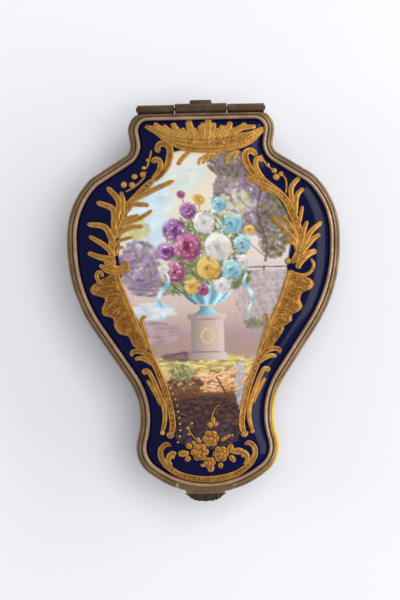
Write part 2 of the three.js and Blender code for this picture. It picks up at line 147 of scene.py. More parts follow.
def dome_z(x, y):
    """Height of the painted surface over the table, in millimetres."""
    x, y = np.atleast_1d(np.asarray(x, float)), np.atleast_1d(np.asarray(y, float))
    total = np.zeros_like(x)
    for a, b in zip(DOME_LOOP, np.roll(DOME_LOOP, -1, axis=0)):
        length = float(np.linalg.norm(b - a))
        along = (b - a) / length
        fx, fy = a[0] - x, a[1] - y
        start = fx * along[0] + fy * along[1]
        aside = np.maximum(1e-4, (fx * along[1] - fy * along[0]) ** 2)
        far = start + length
        far_part = far / (aside * np.sqrt(far * far + aside))
        total += far_part - start / (aside * np.sqrt(start * start + aside))
    depth = np.sqrt(2 / np.maximum(total, 1e-9))
    return EDGE_TOP_Z + DOME_RISE * (1 - np.exp(-depth / DOME_REACH))


def to_frame(points):
    """Millimetres from the belly line to metres in the shared frame."""
    points = np.array(points, float)
    points[:, 1] += SHIFT_Y
    return points * MM


def ring_faces(count, low, high):
    """Faces between two closed rings of points, each given by its first point."""
    return [(low + i, low + (i + 1) % count, high + (i + 1) % count, high + i) for i in range(count)]


def strip_faces(count, low, high):
    """Faces between two open rows of points, each given by its first point."""
    return [(low + i, low + i + 1, high + i + 1, high + i) for i in range(count - 1)]


def linked(name, data):
    """A new object that holds the data, put in the scene."""
    made = bpy.data.objects.new(name, data)
    bpy.context.scene.collection.objects.link(made)
    return made


def new_object(name, verts, faces, materials, smooth=True):
    """A mesh object at the origin, from points in metres."""
    mesh = bpy.data.meshes.new(name)
    mesh.from_pydata([tuple(v) for v in verts], [], faces)
    mesh.update()
    for material in materials:
        mesh.materials.append(material)
    if smooth:
        mesh.polygons.foreach_set("use_smooth", [True] * len(mesh.polygons))
    return linked(name, mesh)


def set_attribute(piece, name, values):
    """Puts one number on each point of a piece."""
    attribute = piece.data.attributes.new(name, "FLOAT", "POINT")
    attribute.data.foreach_set("value", values)


def face_outwards(piece):
    """Turns the faces of a closed piece outwards."""
    bm = bmesh.new()
    bm.from_mesh(piece.data)
    bmesh.ops.recalc_face_normals(bm, faces=bm.faces)
    if bm.calc_volume(signed=True) < 0:
        bmesh.ops.reverse_faces(bm, faces=bm.faces)
    bm.to_mesh(piece.data)
    bm.free()


def apply_modifiers(piece, name):
    """A plain mesh object from an object with modifiers, which is removed."""
    graph = bpy.context.evaluated_depsgraph_get()
    mesh = bpy.data.meshes.new_from_object(piece.evaluated_get(graph))
    mesh.name = name
    bpy.data.objects.remove(piece)
    return linked(name, mesh)


# Materials.
WEAR_SHARE = 0.45
WEAR_RANGE = (0.52, 0.92)
WORN_ROUGHNESS = 0.25
BUMP_DISTANCE = 0.0002
GILT_LINE = (0.75, 0.48, 0.16)


def set_inputs(tree, node, inputs):
    """Links each input of a node to a socket, or sets it to a value."""
    for name, given in inputs.items():
        if isinstance(given, bpy.types.NodeSocket):
            tree.links.new(given, node.inputs[name])
        else:
            node.inputs[name].default_value = given


def add_node(tree, kind, inputs=None, **settings):
    """A new node with its settings and inputs."""
    node = tree.nodes.new(kind)
    for name, value in settings.items():
        setattr(node, name, value)
    set_inputs(tree, node, inputs or {})
    return node


def calculation(tree, operation, *values, **settings):
    """The result of a sum or comparison of sockets and values."""
    inputs = dict(enumerate(values))
    return add_node(tree, "ShaderNodeMath", inputs, operation=operation, **settings).outputs[0]


def noise(tree, place, scale, detail):
    """The outputs of a noise texture."""
    return add_node(tree, "ShaderNodeTexNoise", {"Vector": place, "Scale": scale, "Detail": detail}).outputs


def colour_mix(tree, share, first, second, blend_type="MIX"):
    """The mix of two colours, each a socket or a red, green and blue."""
    inputs = {"Factor": share}
    for name, colour in (("A", first), ("B", second)):
        inputs[name] = colour if isinstance(colour, bpy.types.NodeSocket) else (*colour, 1)
    mix = add_node(tree, "ShaderNodeMix", inputs, data_type="RGBA", blend_type=blend_type)
    return mix.outputs["Result"]


def node_material(name):
    """A new material with its node tree and its shader."""
    material = bpy.data.materials.new(name)
    material.use_nodes = True
    return material, material.node_tree, material.node_tree.nodes["Principled BSDF"]


def new_group(name, kind, inputs, outputs):
    """A node group with named sockets and nothing else."""
    tree = bpy.data.node_groups.new(name, kind)
    for way, sockets in (("INPUT", inputs), ("OUTPUT", outputs)):
        for socket, holds in sockets.items():
            tree.interface.new_socket(name=socket, in_out=way, socket_type="NodeSocket" + holds)
    return tree


def wear_group():
    """Fine cloudy wear for the metals: a mask and a height, from object coordinates."""
    tree = new_group("FineWear", "ShaderNodeTree",
                     {"Vector": "Vector", "Cloud Scale": "Float", "Grit Scale": "Float"},
                     {"Mask": "Float", "Height": "Float"})
    given = tree.nodes.new("NodeGroupInput").outputs
    cloud = noise(tree, given["Vector"], given["Cloud Scale"], 5.0)["Fac"]
    grit = noise(tree, given["Vector"], given["Grit Scale"], 3.0)["Fac"]
    both = calculation(tree, "MULTIPLY_ADD", grit, WEAR_SHARE, cloud)
    ramp = add_node(tree, "ShaderNodeValToRGB", {"Fac": both})
    for element, position in zip(ramp.color_ramp.elements, WEAR_RANGE):
        element.position = position
    add_node(tree, "NodeGroupOutput", {"Mask": ramp.outputs["Color"], "Height": grit})
    return tree


WEAR = wear_group()


def metal(name, bright, dark, roughness, cloud, grit, bump=0.15, tone_attribute=None, metalness=0.85,
          turn=None):
    """Brass or gilding that turns from a bright to a dark colour with wear and with the tone of its section,
    which paints highlights and shade onto it.

    The turn is a colour that takes over from one place to another along Y, or where an attribute says so.
    """
    material, tree, shader = node_material(name)
    place = tree.nodes.new("ShaderNodeTexCoord").outputs["Object"]
    wear = add_node(tree, "ShaderNodeGroup", {"Vector": place, "Cloud Scale": cloud, "Grit Scale": grit},
                    node_tree=WEAR)
    wear_and_painted_light = wear.outputs["Mask"]
    # The tone attribute adds painted highlight and painted shade to the wear.
    if tone_attribute:
        tone = add_node(tree, "ShaderNodeAttribute", attribute_name=tone_attribute).outputs["Fac"]
        wear_and_painted_light = calculation(tree, "MULTIPLY_ADD", wear_and_painted_light, WEAR_SHARE, tone, use_clamp=True)
    colour = colour_mix(tree, wear_and_painted_light, bright, dark)
    if turn:
        where, other = turn
        if isinstance(where, str):
            share = add_node(tree, "ShaderNodeAttribute", attribute_name=where).outputs["Fac"]
        else:
            low, high = [(y + SHIFT_Y) * MM for y in where]
            along = add_node(tree, "ShaderNodeSeparateXYZ", {0: place}).outputs["Y"]
            inputs = {"Value": along, "From Min": low, "From Max": high}
            share = add_node(tree, "ShaderNodeMapRange", inputs).outputs["Result"]
        colour = colour_mix(tree, share, colour, other)
    inputs = {"Value": wear_and_painted_light, "To Min": roughness, "To Max": min(1.0, roughness + WORN_ROUGHNESS)}
    rough = add_node(tree, "ShaderNodeMapRange", inputs)
    inputs = {"Height": wear.outputs["Height"], "Strength": bump, "Distance": BUMP_DISTANCE}
    relief = add_node(tree, "ShaderNodeBump", inputs)
    set_inputs(tree, shader, {
        "Base Color": colour,
        "Roughness": rough.outputs["Result"],
        "Metallic": metalness,
        "Normal": relief.outputs["Normal"],
    })
    return material


def glaze(name, colour, bands=()):
    """Glossy glaze with a faint cloudiness, and gilt lines at given heights."""
    material, tree, shader = node_material(name)
    place = tree.nodes.new("ShaderNodeTexCoord").outputs["Object"]
    deep = [c * 0.75 for c in colour]
    pale = [min(1.0, c * 1.2) for c in colour]
    result = colour_mix(tree, noise(tree, place, 60.0, 4.0)["Fac"], deep, pale)
    if bands:
        height = add_node(tree, "ShaderNodeSeparateXYZ", {0: place}).outputs["Z"]
        gilt = 0.0
        for low, high in bands:
            line = calculation(tree, "COMPARE", height, (low + high) / 2 * MM, (high - low) / 2 * MM)
            gilt = calculation(tree, "MAXIMUM", gilt, line)
        result = colour_mix(tree, gilt, result, GILT_LINE)
        set_inputs(tree, shader, {"Metallic": gilt})
    set_inputs(tree, shader, {"Base Color": result, "Roughness": 0.1})
    return material


def painted_glaze():
    """Cobalt ground round a painted reserve, whose colours and mask lie on the surface as an attribute."""
    material, tree, shader = node_material("PaintedGlaze")
    paint = add_node(tree, "ShaderNodeAttribute", attribute_name="paint").outputs
    place = tree.nodes.new("ShaderNodeTexCoord").outputs["Object"]
    cloud = noise(tree, place, 45.0, 6.0)["Fac"]
    ground = colour_mix(tree, cloud, (0.0012, 0.0014, 0.016), (0.002, 0.0034, 0.055))
    fleck = noise(tree, place, 1400.0, 3.0)["Color"]
    stipple = colour_mix(tree, 0.2, paint["Color"], fleck, "OVERLAY")
    set_inputs(tree, shader, {
        "Base Color": colour_mix(tree, paint["Alpha"], ground, stipple),
        "Roughness": 0.12,
        "Specular IOR Level": 0.2,
    })
    return material


GILDING = metal("RaisedGilding", (1.0, 0.55, 0.125), (0.33, 0.12, 0.018), roughness=0.27, cloud=420.0,
                grit=2600.0, bump=0.8, tone_attribute="tone", metalness=0.72)
BEAD_GILT = metal("BeadGilding", (1.0, 0.74, 0.36), (0.66, 0.36, 0.1), roughness=0.25, cloud=500.0,
                  grit=2600.0, metalness=0.7)
# The reeded brass turns bright yellow on the right of the waist, as a painted highlight.
MOUNT_BRASS = metal("ReededBrass", (0.95, 0.6, 0.38), (0.27, 0.185, 0.1), roughness=0.3, cloud=150.0,
                    grit=1500.0, bump=0.3, tone_attribute="tone", turn=("polish", (1.0, 0.68, 0.06)))
HINGE_BRASS = metal("HingeBrass", (0.25, 0.16, 0.1), (0.13, 0.085, 0.055), roughness=0.42, cloud=200.0,
                    grit=1500.0, bump=0.5)
THUMB_BRASS = metal("ThumbpieceBrass", (0.16, 0.115, 0.08), (0.06, 0.045, 0.035), roughness=0.36,
                    cloud=300.0, grit=1800.0, bump=0.4, turn=((-83.4, -83.0), (0.36, 0.24, 0.13)))
INNER_BRASS = metal("FlangeBrass", (0.75, 0.5, 0.24), (0.4, 0.26, 0.12), roughness=0.35, cloud=120.0,
                    grit=1200.0, bump=0.2)
COBALT = glaze("CobaltGlaze", (0.004, 0.006, 0.062), bands=((29.0, 29.7), (9.0, 9.6), (1.9, 2.5)))
WHITE_GLAZE = glaze("WhiteGlaze", (0.8, 0.79, 0.76))
PLASTER = glaze("BeddingPlaster", (0.7, 0.66, 0.58))
PAINTED = painted_glaze()


def set_cad_material(node, material):
    """Puts a material on a solid that is shown as it is."""
    piece = bpy.data.objects[node]
    if not piece.material_slots:
        piece.data.materials.append(material)
    for slot in piece.material_slots:
        slot.material = material


# Painting of the reserve on a canvas in millimetres, which is then laid on the surface. The reserve's edge
# runs down its left side. Below the belly the right side mirrors the left, and above it the sides differ.
CANVAS_LOW = (-36.0, -70.0)
CANVAS_HIGH = (36.0, 48.0)
CANVAS_FINENESS = 5.0
PETAL_DABS = 34
RESERVE_LEFT = [
    (0, 44.5), (-8, 44.2), (-11.6, 43.4), (-12.6, 39), (-14.5, 35.6), (-19, 31.5), (-24, 27), (-28, 21),
    (-30.5, 14), (-31.5, 6), (-30.5, 0.5), (-31, -4), (-29, -9), (-26.5, -15), (-23.5, -21), (-21.3, -27),
    (-19, -33), (-16.6, -40), (-14.4, -47), (-13.2, -54), (-12.6, -60), (-11, -63.5), (-5, -66), (0, -66.5),
]
RESERVE_BELLY = 9
RESERVE_RIGHT_TOP = [
    (32.6, 13), (31.4, 19.5), (28.6, 25), (24.6, 29.4), (20.6, 32.8), (17.4, 36.8), (15.8, 40),
    (14.6, 43.6), (8, 44.2),
]
RESERVE_LOWER_RIGHT = [(-x, y) for x, y in reversed(RESERVE_LEFT[RESERVE_BELLY:])]
RESERVE = RESERVE_LEFT + RESERVE_LOWER_RIGHT + RESERVE_RIGHT_TOP
RESERVE_SOFTNESS = 0.5


class Canvas:
    """A small painting surface with soft dabs of colour."""

    def __init__(self):
        self.width = int((CANVAS_HIGH[0] - CANVAS_LOW[0]) * CANVAS_FINENESS)
        self.height = int((CANVAS_HIGH[1] - CANVAS_LOW[1]) * CANVAS_FINENESS)
        self.x = CANVAS_LOW[0] + (np.arange(self.width) + 0.5) / CANVAS_FINENESS
        self.y = CANVAS_LOW[1] + (np.arange(self.height) + 0.5) / CANVAS_FINENESS
        self.colour = np.zeros((self.height, self.width, 3))

    def dab(self, x, y, length, width, angle, colour, strength=1.0, soft=0.3):
        """An oval dab of paint at a place, turned by an angle in degrees."""
        reach = max(length, width) * 1.2 + 0.3
        c0, c1 = np.searchsorted(self.x, [x - reach, x + reach])
        r0, r1 = np.searchsorted(self.y, [y - reach, y + reach])
        if c0 >= c1 or r0 >= r1:
            return
        dx = self.x[c0:c1][None, :] - x
        dy = self.y[r0:r1][:, None] - y
        turn = math.radians(angle)
        u = (dx * math.cos(turn) + dy * math.sin(turn)) / length
        v = (-dx * math.sin(turn) + dy * math.cos(turn)) / width
        share = np.clip((1 - np.sqrt(u * u + v * v)) / soft, 0, 1)[..., None] * strength
        window = self.colour[r0:r1, c0:c1]
        self.colour[r0:r1, c0:c1] = window * (1 - share) + np.array(colour) * share

    def gradient(self, stops):
        """Fills the canvas from stops of height and colour, from the bottom up."""
        heights = [s[0] for s in stops]
        for k in range(3):
            self.colour[..., k] = np.interp(self.y, heights, [s[1][k] for s in stops])[:, None]

    def scatter(self, centre, size, count, dab, colours, angles, strength):
        """Dabs spread over an oval, in a random mix of colours."""
        for _ in range(count):
            a = RNG.uniform(0, 2 * math.pi)
            r = math.sqrt(RNG.uniform(0, 1))
            x = centre[0] + size[0] * r * math.cos(a)
            y = centre[1] + size[1] * r * math.sin(a)
            colour = np.array(colours[RNG.integers(len(colours))]) * RNG.uniform(0.85, 1.12)
            length = dab[0] * RNG.uniform(0.6, 1.3)
            width = dab[1] * RNG.uniform(0.6, 1.3)
            self.dab(x, y, length, width, RNG.uniform(*angles), np.clip(colour, 0, 1), strength)

    def rose(self, x, y, radius, deep, light):
        """A full flower: dark heart, then rings of petals that grow lighter outwards and upwards."""
        deep, light = np.array(deep), np.array(light)
        self.dab(x, y, radius * 1.12, radius, RNG.uniform(0, 180), deep, 0.95, 0.2)
        for _ in range(PETAL_DABS):
            a, r = RNG.uniform(0, 2 * math.pi), math.sqrt(RNG.uniform(0.03, 0.9))
            tone = 0.2 + 0.32 * (math.sin(a) - 0.5 * math.cos(a)) * r + 0.35 * r + RNG.uniform(-0.18, 0.18)
            colour = deep + (light - deep) * min(1.0, max(0.0, tone))
            self.dab(x + radius * r * math.cos(a), y + radius * r * math.sin(a), radius * 0.42,
                     radius * 0.15, math.degrees(a) + 90, colour, 0.85, 0.5)
        turn = RNG.uniform(0, 180)
        self.dab(x - 0.1 * radius, y, radius * 0.32, radius * 0.16, turn, deep * 0.5, 0.75, 0.6)

    def sample(self, x, y):
        """Colours at many places, smoothly between the canvas's points."""
        u = np.clip((x - CANVAS_LOW[0]) * CANVAS_FINENESS - 0.5, 0, self.width - 1.001)
        v = np.clip((y - CANVAS_LOW[1]) * CANVAS_FINENESS - 0.5, 0, self.height - 1.001)
        c, r = u.astype(int), v.astype(int)
        fu, fv = (u - c)[:, None], (v - r)[:, None]
        low = self.colour[r, c] * (1 - fu) + self.colour[r, c + 1] * fu
        high = self.colour[r + 1, c] * (1 - fu) + self.colour[r + 1, c + 1] * fu
        return low * (1 - fv) + high * fv


# Colours of the painting, as mixes for the dabs and as deep and light pairs for the flowers.
GROUND_STOPS = [
    (-70, (0.03, 0.014, 0.014)), (-52, (0.045, 0.022, 0.018)), (-46, (0.14, 0.06, 0.03)),
    (-41, (0.7, 0.36, 0.17)), (-36, (0.72, 0.55, 0.24)), (-31, (0.4, 0.26, 0.22)), (-24, (0.4, 0.28, 0.28)),
    (-14, (0.6, 0.45, 0.4)), (-4, (0.66, 0.54, 0.52)), (12, (0.74, 0.66, 0.58)), (28, (0.74, 0.68, 0.56)),
    (48, (0.66, 0.58, 0.42)),
]
SKY = [(0.5, 0.66, 0.78), (0.64, 0.76, 0.82)]
CLOUD = [(0.78, 0.72, 0.58), (0.62, 0.7, 0.72)]
FAR_TREES = [(0.62, 0.56, 0.2), (0.5, 0.46, 0.3)]
WATER = [(0.5, 0.62, 0.7), (0.74, 0.72, 0.74)]
SHORE = [(0.36, 0.22, 0.26), (0.5, 0.38, 0.4)]
SUNLIT_TREES = [(0.66, 0.62, 0.55), (0.6, 0.58, 0.3)]
LILAC = [(0.24, 0.15, 0.3), (0.38, 0.27, 0.43), (0.15, 0.1, 0.17), (0.3, 0.27, 0.22)]
OLIVE = [(0.15, 0.13, 0.07), (0.27, 0.22, 0.12), (0.09, 0.075, 0.05), (0.22, 0.17, 0.17)]
LEAVES = [(0.12, 0.16, 0.06), (0.22, 0.25, 0.09), (0.35, 0.36, 0.16), (0.1, 0.12, 0.1)]
STONE = [(0.46, 0.38, 0.4), (0.56, 0.48, 0.48), (0.38, 0.3, 0.33)]
GRASS = [(0.8, 0.66, 0.26), (0.5, 0.5, 0.14), (0.34, 0.2, 0.1)]
CLAY = [(0.74, 0.34, 0.13), (0.86, 0.6, 0.32), (0.2, 0.08, 0.04)]
DARK_CLAY = [(0.1, 0.04, 0.03), (0.2, 0.09, 0.04)]
DEEP_SHADE = [(0.06, 0.03, 0.03), (0.12, 0.055, 0.045), (0.03, 0.018, 0.02)]
PALE_STEM = [(0.5, 0.48, 0.5), (0.34, 0.3, 0.34)]
NIGHT = [(0.035, 0.02, 0.03), (0.08, 0.055, 0.08)]
URN_SHADOW = [(0.14, 0.08, 0.1), (0.22, 0.14, 0.12)]
BLOSSOM = [(0.85, 0.82, 0.74), (0.8, 0.55, 0.15), (0.5, 0.56, 0.2)]
MAGENTA = ((0.2, 0.02, 0.09), (0.72, 0.28, 0.5))
PURPLE = ((0.14, 0.02, 0.16), (0.62, 0.36, 0.7))
WHITE_ROSE = ((0.5, 0.46, 0.46), (0.93, 0.9, 0.86))
TURQUOISE = ((0.1, 0.3, 0.4), (0.62, 0.85, 0.88))
YELLOW = ((0.5, 0.26, 0.05), (0.95, 0.72, 0.25))
ANY_WAY = (0, 180)


def paint_background(canvas):
    """Sky, far trees, water and the tall tree on the right."""
    canvas.gradient(GROUND_STOPS)
    canvas.scatter((-21, 23), (10, 14), 170, (3.4, 1.7), SKY, (20, 60), 0.5)
    canvas.scatter((-8, 36), (9, 6), 90, (3.0, 1.4), CLOUD, (0, 40), 0.45)
    canvas.scatter((-25, 15), (5, 4), 90, (1.6, 1.0), FAR_TREES, (0, 60), 0.5)
    canvas.scatter((-24, 2), (8, 9), 420, (1.2, 0.7), LILAC, ANY_WAY, 0.6)
    canvas.scatter((-19, -6), (9, 3.5), 220, (1.4, 0.5), LILAC, (0, 30), 0.55)
    canvas.scatter((-19, -15), (7, 3), 90, (2.8, 0.8), WATER, (-5, 10), 0.7)
    canvas.scatter((-18, -23), (8, 4), 120, (2.4, 0.6), SHORE, (-10, 10), 0.6)
    canvas.scatter((18, 27), (14, 14), 1300, (1.3, 0.8), LILAC + OLIVE[1:2], ANY_WAY, 0.62)
    canvas.scatter((14, 39), (12, 5), 520, (1.2, 0.7), OLIVE + LILAC[:1], ANY_WAY, 0.68)
    canvas.scatter((26, 16), (6, 12), 420, (1.1, 0.7), OLIVE, ANY_WAY, 0.62)
    canvas.scatter((12, 24), (6, 6), 90, (1.4, 0.8), SUNLIT_TREES, ANY_WAY, 0.5)
    for k in range(30):
        sway = 1.2 * math.sin(0.35 * k)
        x, y = 20 + 0.1 * k + sway, 38 - 1.3 * k
        canvas.dab(x, y, 1.5, 0.5, 98 + 8 * sway, (0.12, 0.075, 0.07), 0.8)
        if k % 6 == 2:
            for j in range(8):
                canvas.dab(x - 0.8 * j, y + 0.7 * j, 0.9, 0.28, -42, (0.14, 0.09, 0.08), 0.7)


# The garden wall: its left end and foot, its courses, and the dabs along each course and block.
WALL_LEFT = 12
WALL_FOOT = -17
COURSES = 8
COURSE_HEIGHT = 2.2
COURSE_DABS = 60
COURSE_STEP = 0.32
BLOCK_DABS = 16
COPING_DABS = 40
COPING_STEP = 0.5


def paint_terrace(canvas):
    """A low garden wall on the right, with soft courses and a rounded coping."""
    for row in range(COURSES):
        y = WALL_FOOT + COURSE_HEIGHT * row
        for k in range(COURSE_DABS):
            x = WALL_LEFT + COURSE_STEP * k
            joint = 0.75 if (k + BLOCK_DABS // 2 * (row % 2)) % BLOCK_DABS < 1 else 1.0
            colour = np.array(STONE[RNG.integers(3)]) * RNG.uniform(0.85, 1.1) * joint
            canvas.dab(x, y + RNG.uniform(-0.3, 0.3), 0.9, 1.2, RNG.uniform(0, 90), colour, 0.7, 0.5)
        canvas.dab(22, y + 1.1, 11, 0.16, 0, (0.22, 0.14, 0.17), 0.5)
    for k in range(COPING_DABS):
        x = WALL_LEFT - 1 + COPING_STEP * k
        canvas.dab(x, 1.9, 0.9, 0.8, 0, (0.66, 0.55, 0.52), 0.85)
        canvas.dab(x, 0.7, 0.9, 0.35, 0, (0.2, 0.13, 0.15), 0.7)
    canvas.scatter((22, -20), (8, 2), 160, (1.2, 0.4), LEAVES + LILAC[:1], (20, 160), 0.7)


def paint_bank(canvas):
    """Grass, clay bank and deep shade at the foot of the garden."""
    canvas.scatter((0, -34.5), (20, 3), 520, (1.8, 0.3), GRASS, (-15, 15), 0.8)
    canvas.scatter((2, -41), (15, 4), 520, (1.6, 0.35), CLAY, (-20, 25), 0.75)
    canvas.scatter((-8, -43), (7, 3.4), 200, (1.2, 0.4), DARK_CLAY, (-30, 30), 0.8)
    canvas.scatter((0, -53), (14, 6), 520, (1.4, 0.5), DEEP_SHADE, (-30, 30), 0.8)
    for k in range(26):
        canvas.dab(4 + 0.22 * k, -40 - 0.42 * k, 0.8, 0.35, -60, (0.07, 0.035, 0.03), 0.8)
    canvas.scatter((-9, -38), (5, 3), 150, (1.0, 0.22), LEAVES, (60, 120), 0.8)
    canvas.scatter((12.6, -43), (1.9, 9), 130, (0.9, 0.5), PALE_STEM, (40, 140), 0.7)
    canvas.scatter((0, -61), (12, 5), 300, (1.0, 0.4), NIGHT, ANY_WAY, 0.7)


# The pedestal and the urn: their middle line, places up from the belly line and half widths.
URN_X = 0.8
PEDESTAL_FOOT = -33.0
PEDESTAL_ROWS = 40
PEDESTAL_STEP = 0.42
PLINTH_TOP = -30.5
CORNICE_FOOT = -18.2
PLINTH_HALF = 6.8
SHAFT_HALF = 5.6
WREATH_Y = -24.4
WREATH_DABS = 14
URN_PROFILE = [
    (-16.4, 4.6), (-15.2, 2.6), (-13.8, 2.0), (-12.6, 4.2), (-11, 6.6), (-9, 8.4), (-7, 9.2), (-5.4, 8.6),
    (-4.4, 7.4), (-3.4, 8.8), (-2.6, 9.2),
]
URN_FLUTES = 9
FLUTE_FOOT = -12.6
FLUTE_TOP = -5.4


def paint_pedestal(canvas):
    """A stone pedestal and a gadrooned urn in the middle of the garden."""
    canvas.scatter((-7, -32), (9, 1.6), 120, (1.8, 0.5), URN_SHADOW, (-5, 5), 0.7)
    for k in range(PEDESTAL_ROWS):
        y = PEDESTAL_FOOT + PEDESTAL_STEP * k
        half = PLINTH_HALF if y < PLINTH_TOP or y > CORNICE_FOOT else SHAFT_HALF
        for x in np.arange(-half, half + 0.1, 0.45):
            shade = 0.4 + 0.55 * (x + half) / (2 * half) + RNG.uniform(-0.06, 0.06)
            canvas.dab(x + URN_X, y, 0.6, 0.4, 0, (0.72 * shade, 0.56 * shade, 0.5 * shade), 0.85)
    for y in (PLINTH_TOP + 0.1, CORNICE_FOOT - 0.1):
        canvas.dab(URN_X, y, 6.4, 0.25, 0, (0.16, 0.1, 0.12), 0.8)
    for k in range(WREATH_DABS):
        a = 2 * math.pi * k / WREATH_DABS
        x, y = URN_X + 2.2 * math.cos(a), WREATH_Y + 2.6 * math.sin(a)
        canvas.dab(x, y, 0.8, 0.35, math.degrees(a) + 65, (0.84, 0.52, 0.1), 0.85)
    heights, halves = zip(*URN_PROFILE)
    for y in np.arange(heights[0], -2.5, 0.3):
        half = float(np.interp(y, heights, halves))
        for x in np.arange(-half, half + 0.1, 0.35):
            turn = math.asin(max(-1.0, min(1.0, x / half)))
            flute = 0.2 * math.cos(URN_FLUTES * turn) if FLUTE_FOOT < y < FLUTE_TOP else 0.0
            shade = 0.4 + 0.5 * (0.5 + 0.5 * math.sin(turn + 0.5)) + flute + RNG.uniform(-0.05, 0.05)
            pale = max(0.0, shade - 0.72)
            colour = (0.22 * shade + pale, 0.5 * shade + pale, 0.62 * shade + pale)
            canvas.dab(x + URN_X, y, 0.42, 0.32, 0, colour, 0.9)
    for x in np.arange(-8.2, 9.9, 0.4):
        canvas.dab(x, -4.6, 0.45, 0.32, 0, (0.85, 0.6, 0.2), 0.9)
        canvas.dab(URN_X + (x - URN_X) * 0.45, -13, 0.3, 0.3, 0, (0.8, 0.52, 0.16), 0.8)


# The bouquet: where its stems meet, and its flowers by place, radius and colours.
STEMS_X = 1
STEMS_Y = 2
STEM_DABS = 24
RIBBON_DABS = 90
FLOWERS = [
    (-11, 15, 4.2, PURPLE), (-5.5, 22, 3.2, PURPLE), (-14, 7, 3.4, PURPLE), (10.5, 17, 3.8, TURQUOISE),
    (14.5, 9.5, 3.2, TURQUOISE), (6, 24, 2.8, TURQUOISE), (0.5, 17.5, 4.0, WHITE_ROSE),
    (14.5, 2.5, 2.8, WHITE_ROSE), (-10.5, -0.5, 3.8, MAGENTA), (-5.6, 8.6, 5.0, MAGENTA),
    (5.4, 8.4, 5.2, WHITE_ROSE), (10, 0, 3.8, TURQUOISE), (1.6, 0.6, 4.4, YELLOW), (-1.5, 26, 2.3, YELLOW),
    (-4.4, -6, 2.9, YELLOW), (6.4, -6, 3.0, WHITE_ROSE), (-0.5, -7.5, 2.2, MAGENTA),
    (-15, 0.5, 2.0, WHITE_ROSE), (17, 14.5, 1.9, YELLOW), (-8, 28, 1.6, MAGENTA),
]


def paint_bouquet(canvas):
    """Leaves, full flowers on their stems, loose blossom and two ribbons."""
    canvas.scatter((1, 8), (15, 13), 620, (1.9, 0.5), LEAVES, ANY_WAY, 0.85)
    canvas.scatter((-8, -4), (8, 5), 150, (1.9, 0.45), LEAVES, (100, 160), 0.85)
    canvas.scatter((10, -3), (7, 4), 150, (1.9, 0.45), LEAVES, (20, 80), 0.85)
    for x, y, _, _ in FLOWERS:
        lean = math.degrees(math.atan2(y - STEMS_Y, x - STEMS_X))
        for t in np.linspace(0, 1, STEM_DABS):
            stem_x, stem_y = STEMS_X + (x - STEMS_X) * t, STEMS_Y + (y - STEMS_Y) * t
            canvas.dab(stem_x, stem_y, 0.9, 0.24, lean, (0.16, 0.2, 0.07), 0.85)
    for x, y, radius, (deep, light) in FLOWERS:
        canvas.rose(x, y, radius, deep, light)
    canvas.scatter((1, 9), (17, 17), 150, (0.6, 0.3), BLOSSOM, ANY_WAY, 0.85)
    for k in range(RIBBON_DABS):
        a = k / (RIBBON_DABS - 1)
        fold = 0.5 + 0.5 * math.sin(16 * a)
        colour = (0.16 + 0.5 * fold, 0.42 + 0.36 * fold, 0.52 + 0.32 * fold)
        canvas.dab(-14 - 3 * a + 1.4 * math.sin(9 * a), -1 - 17 * a, 0.5, 1.0, 20, colour, 0.9)
        canvas.dab(15.5 + 2 * a - 1.2 * math.sin(8 * a), -2 - 14 * a, 0.5, 1.0, -20, colour, 0.9)


def paint_reserve():
    """The whole painting, from the sky to the flowers."""
    canvas = Canvas()
    paint_background(canvas)
    paint_terrace(canvas)
    paint_bank(canvas)
    paint_pedestal(canvas)
    paint_bouquet(canvas)
    return canvas


def inside_share(x, y, polygon, soft):
    """1 inside a polygon, 0 outside, with a soft edge, for many points."""
    polygon = np.array(polygon, float)
    nearest = np.full(x.shape, 1e9)
    inside = np.zeros(x.shape, bool)
    for a, b in zip(polygon, np.roll(polygon, -1, axis=0)):
        d = b - a
        t = np.clip(((x - a[0]) * d[0] + (y - a[1]) * d[1]) / max(1e-9, d @ d), 0, 1)
        nearest = np.minimum(nearest, np.hypot(x - a[0] - t * d[0], y - a[1] - t * d[1]))
        crosses = (a[1] > y) != (b[1] > y)
        with np.errstate(divide="ignore", invalid="ignore"):
            at = a[0] + (y - a[1]) * d[0] / d[1]
        inside ^= crosses & (x < at)
    signed = np.where(inside, nearest, -nearest)
    return np.clip(signed / soft + 0.5, 0, 1)


# Lid plaque.
COLUMNS = 220
ROWS = 380
COARSE = 4
GRID_OFFSET = -3.4
FRONT_ROW_Y = -74.0


def plaque_grid():
    """Rows and columns of places that fill the outline, closer together towards the middle."""
    loop = loop_points(GRID_OFFSET, 8)
    right = loop[loop[:, 0] >= 0]
    right = right[np.argsort(right[:, 1])]
    top_y = right[:, 1].max() - 1e-3
    front = right[right[:, 1] < FRONT_ROW_Y + 0.5]
    front = front[np.argsort(front[:, 0])]
    t = np.linspace(-1, 1, COLUMNS + 1)
    u = 0.7 * t + 0.3 * t ** 3
    v = np.linspace(0, 1, ROWS + 1)
    side_y = top_y + v * (FRONT_ROW_Y - top_y)
    half = np.interp(side_y, right[:, 1], right[:, 0])
    half[0] = np.interp(top_y - 0.05, right[:, 1], right[:, 0])
    bottom_x = np.abs(u) * half[-1]
    bottom_y = np.interp(bottom_x, front[:, 0], front[:, 1])
    x = u[None, :] * half[:, None]
    y = top_y + v[:, None] * (bottom_y[None, :] - top_y)
    return x, y


def border(rows, cols):
    """Row and column of each border point, once round."""
    top = [(0, c) for c in range(cols)]
    right = [(r, cols) for r in range(rows)]
    bottom = [(rows, c) for c in range(cols, 0, -1)]
    left = [(r, 0) for r in range(rows, 0, -1)]
    return top + right + bottom + left


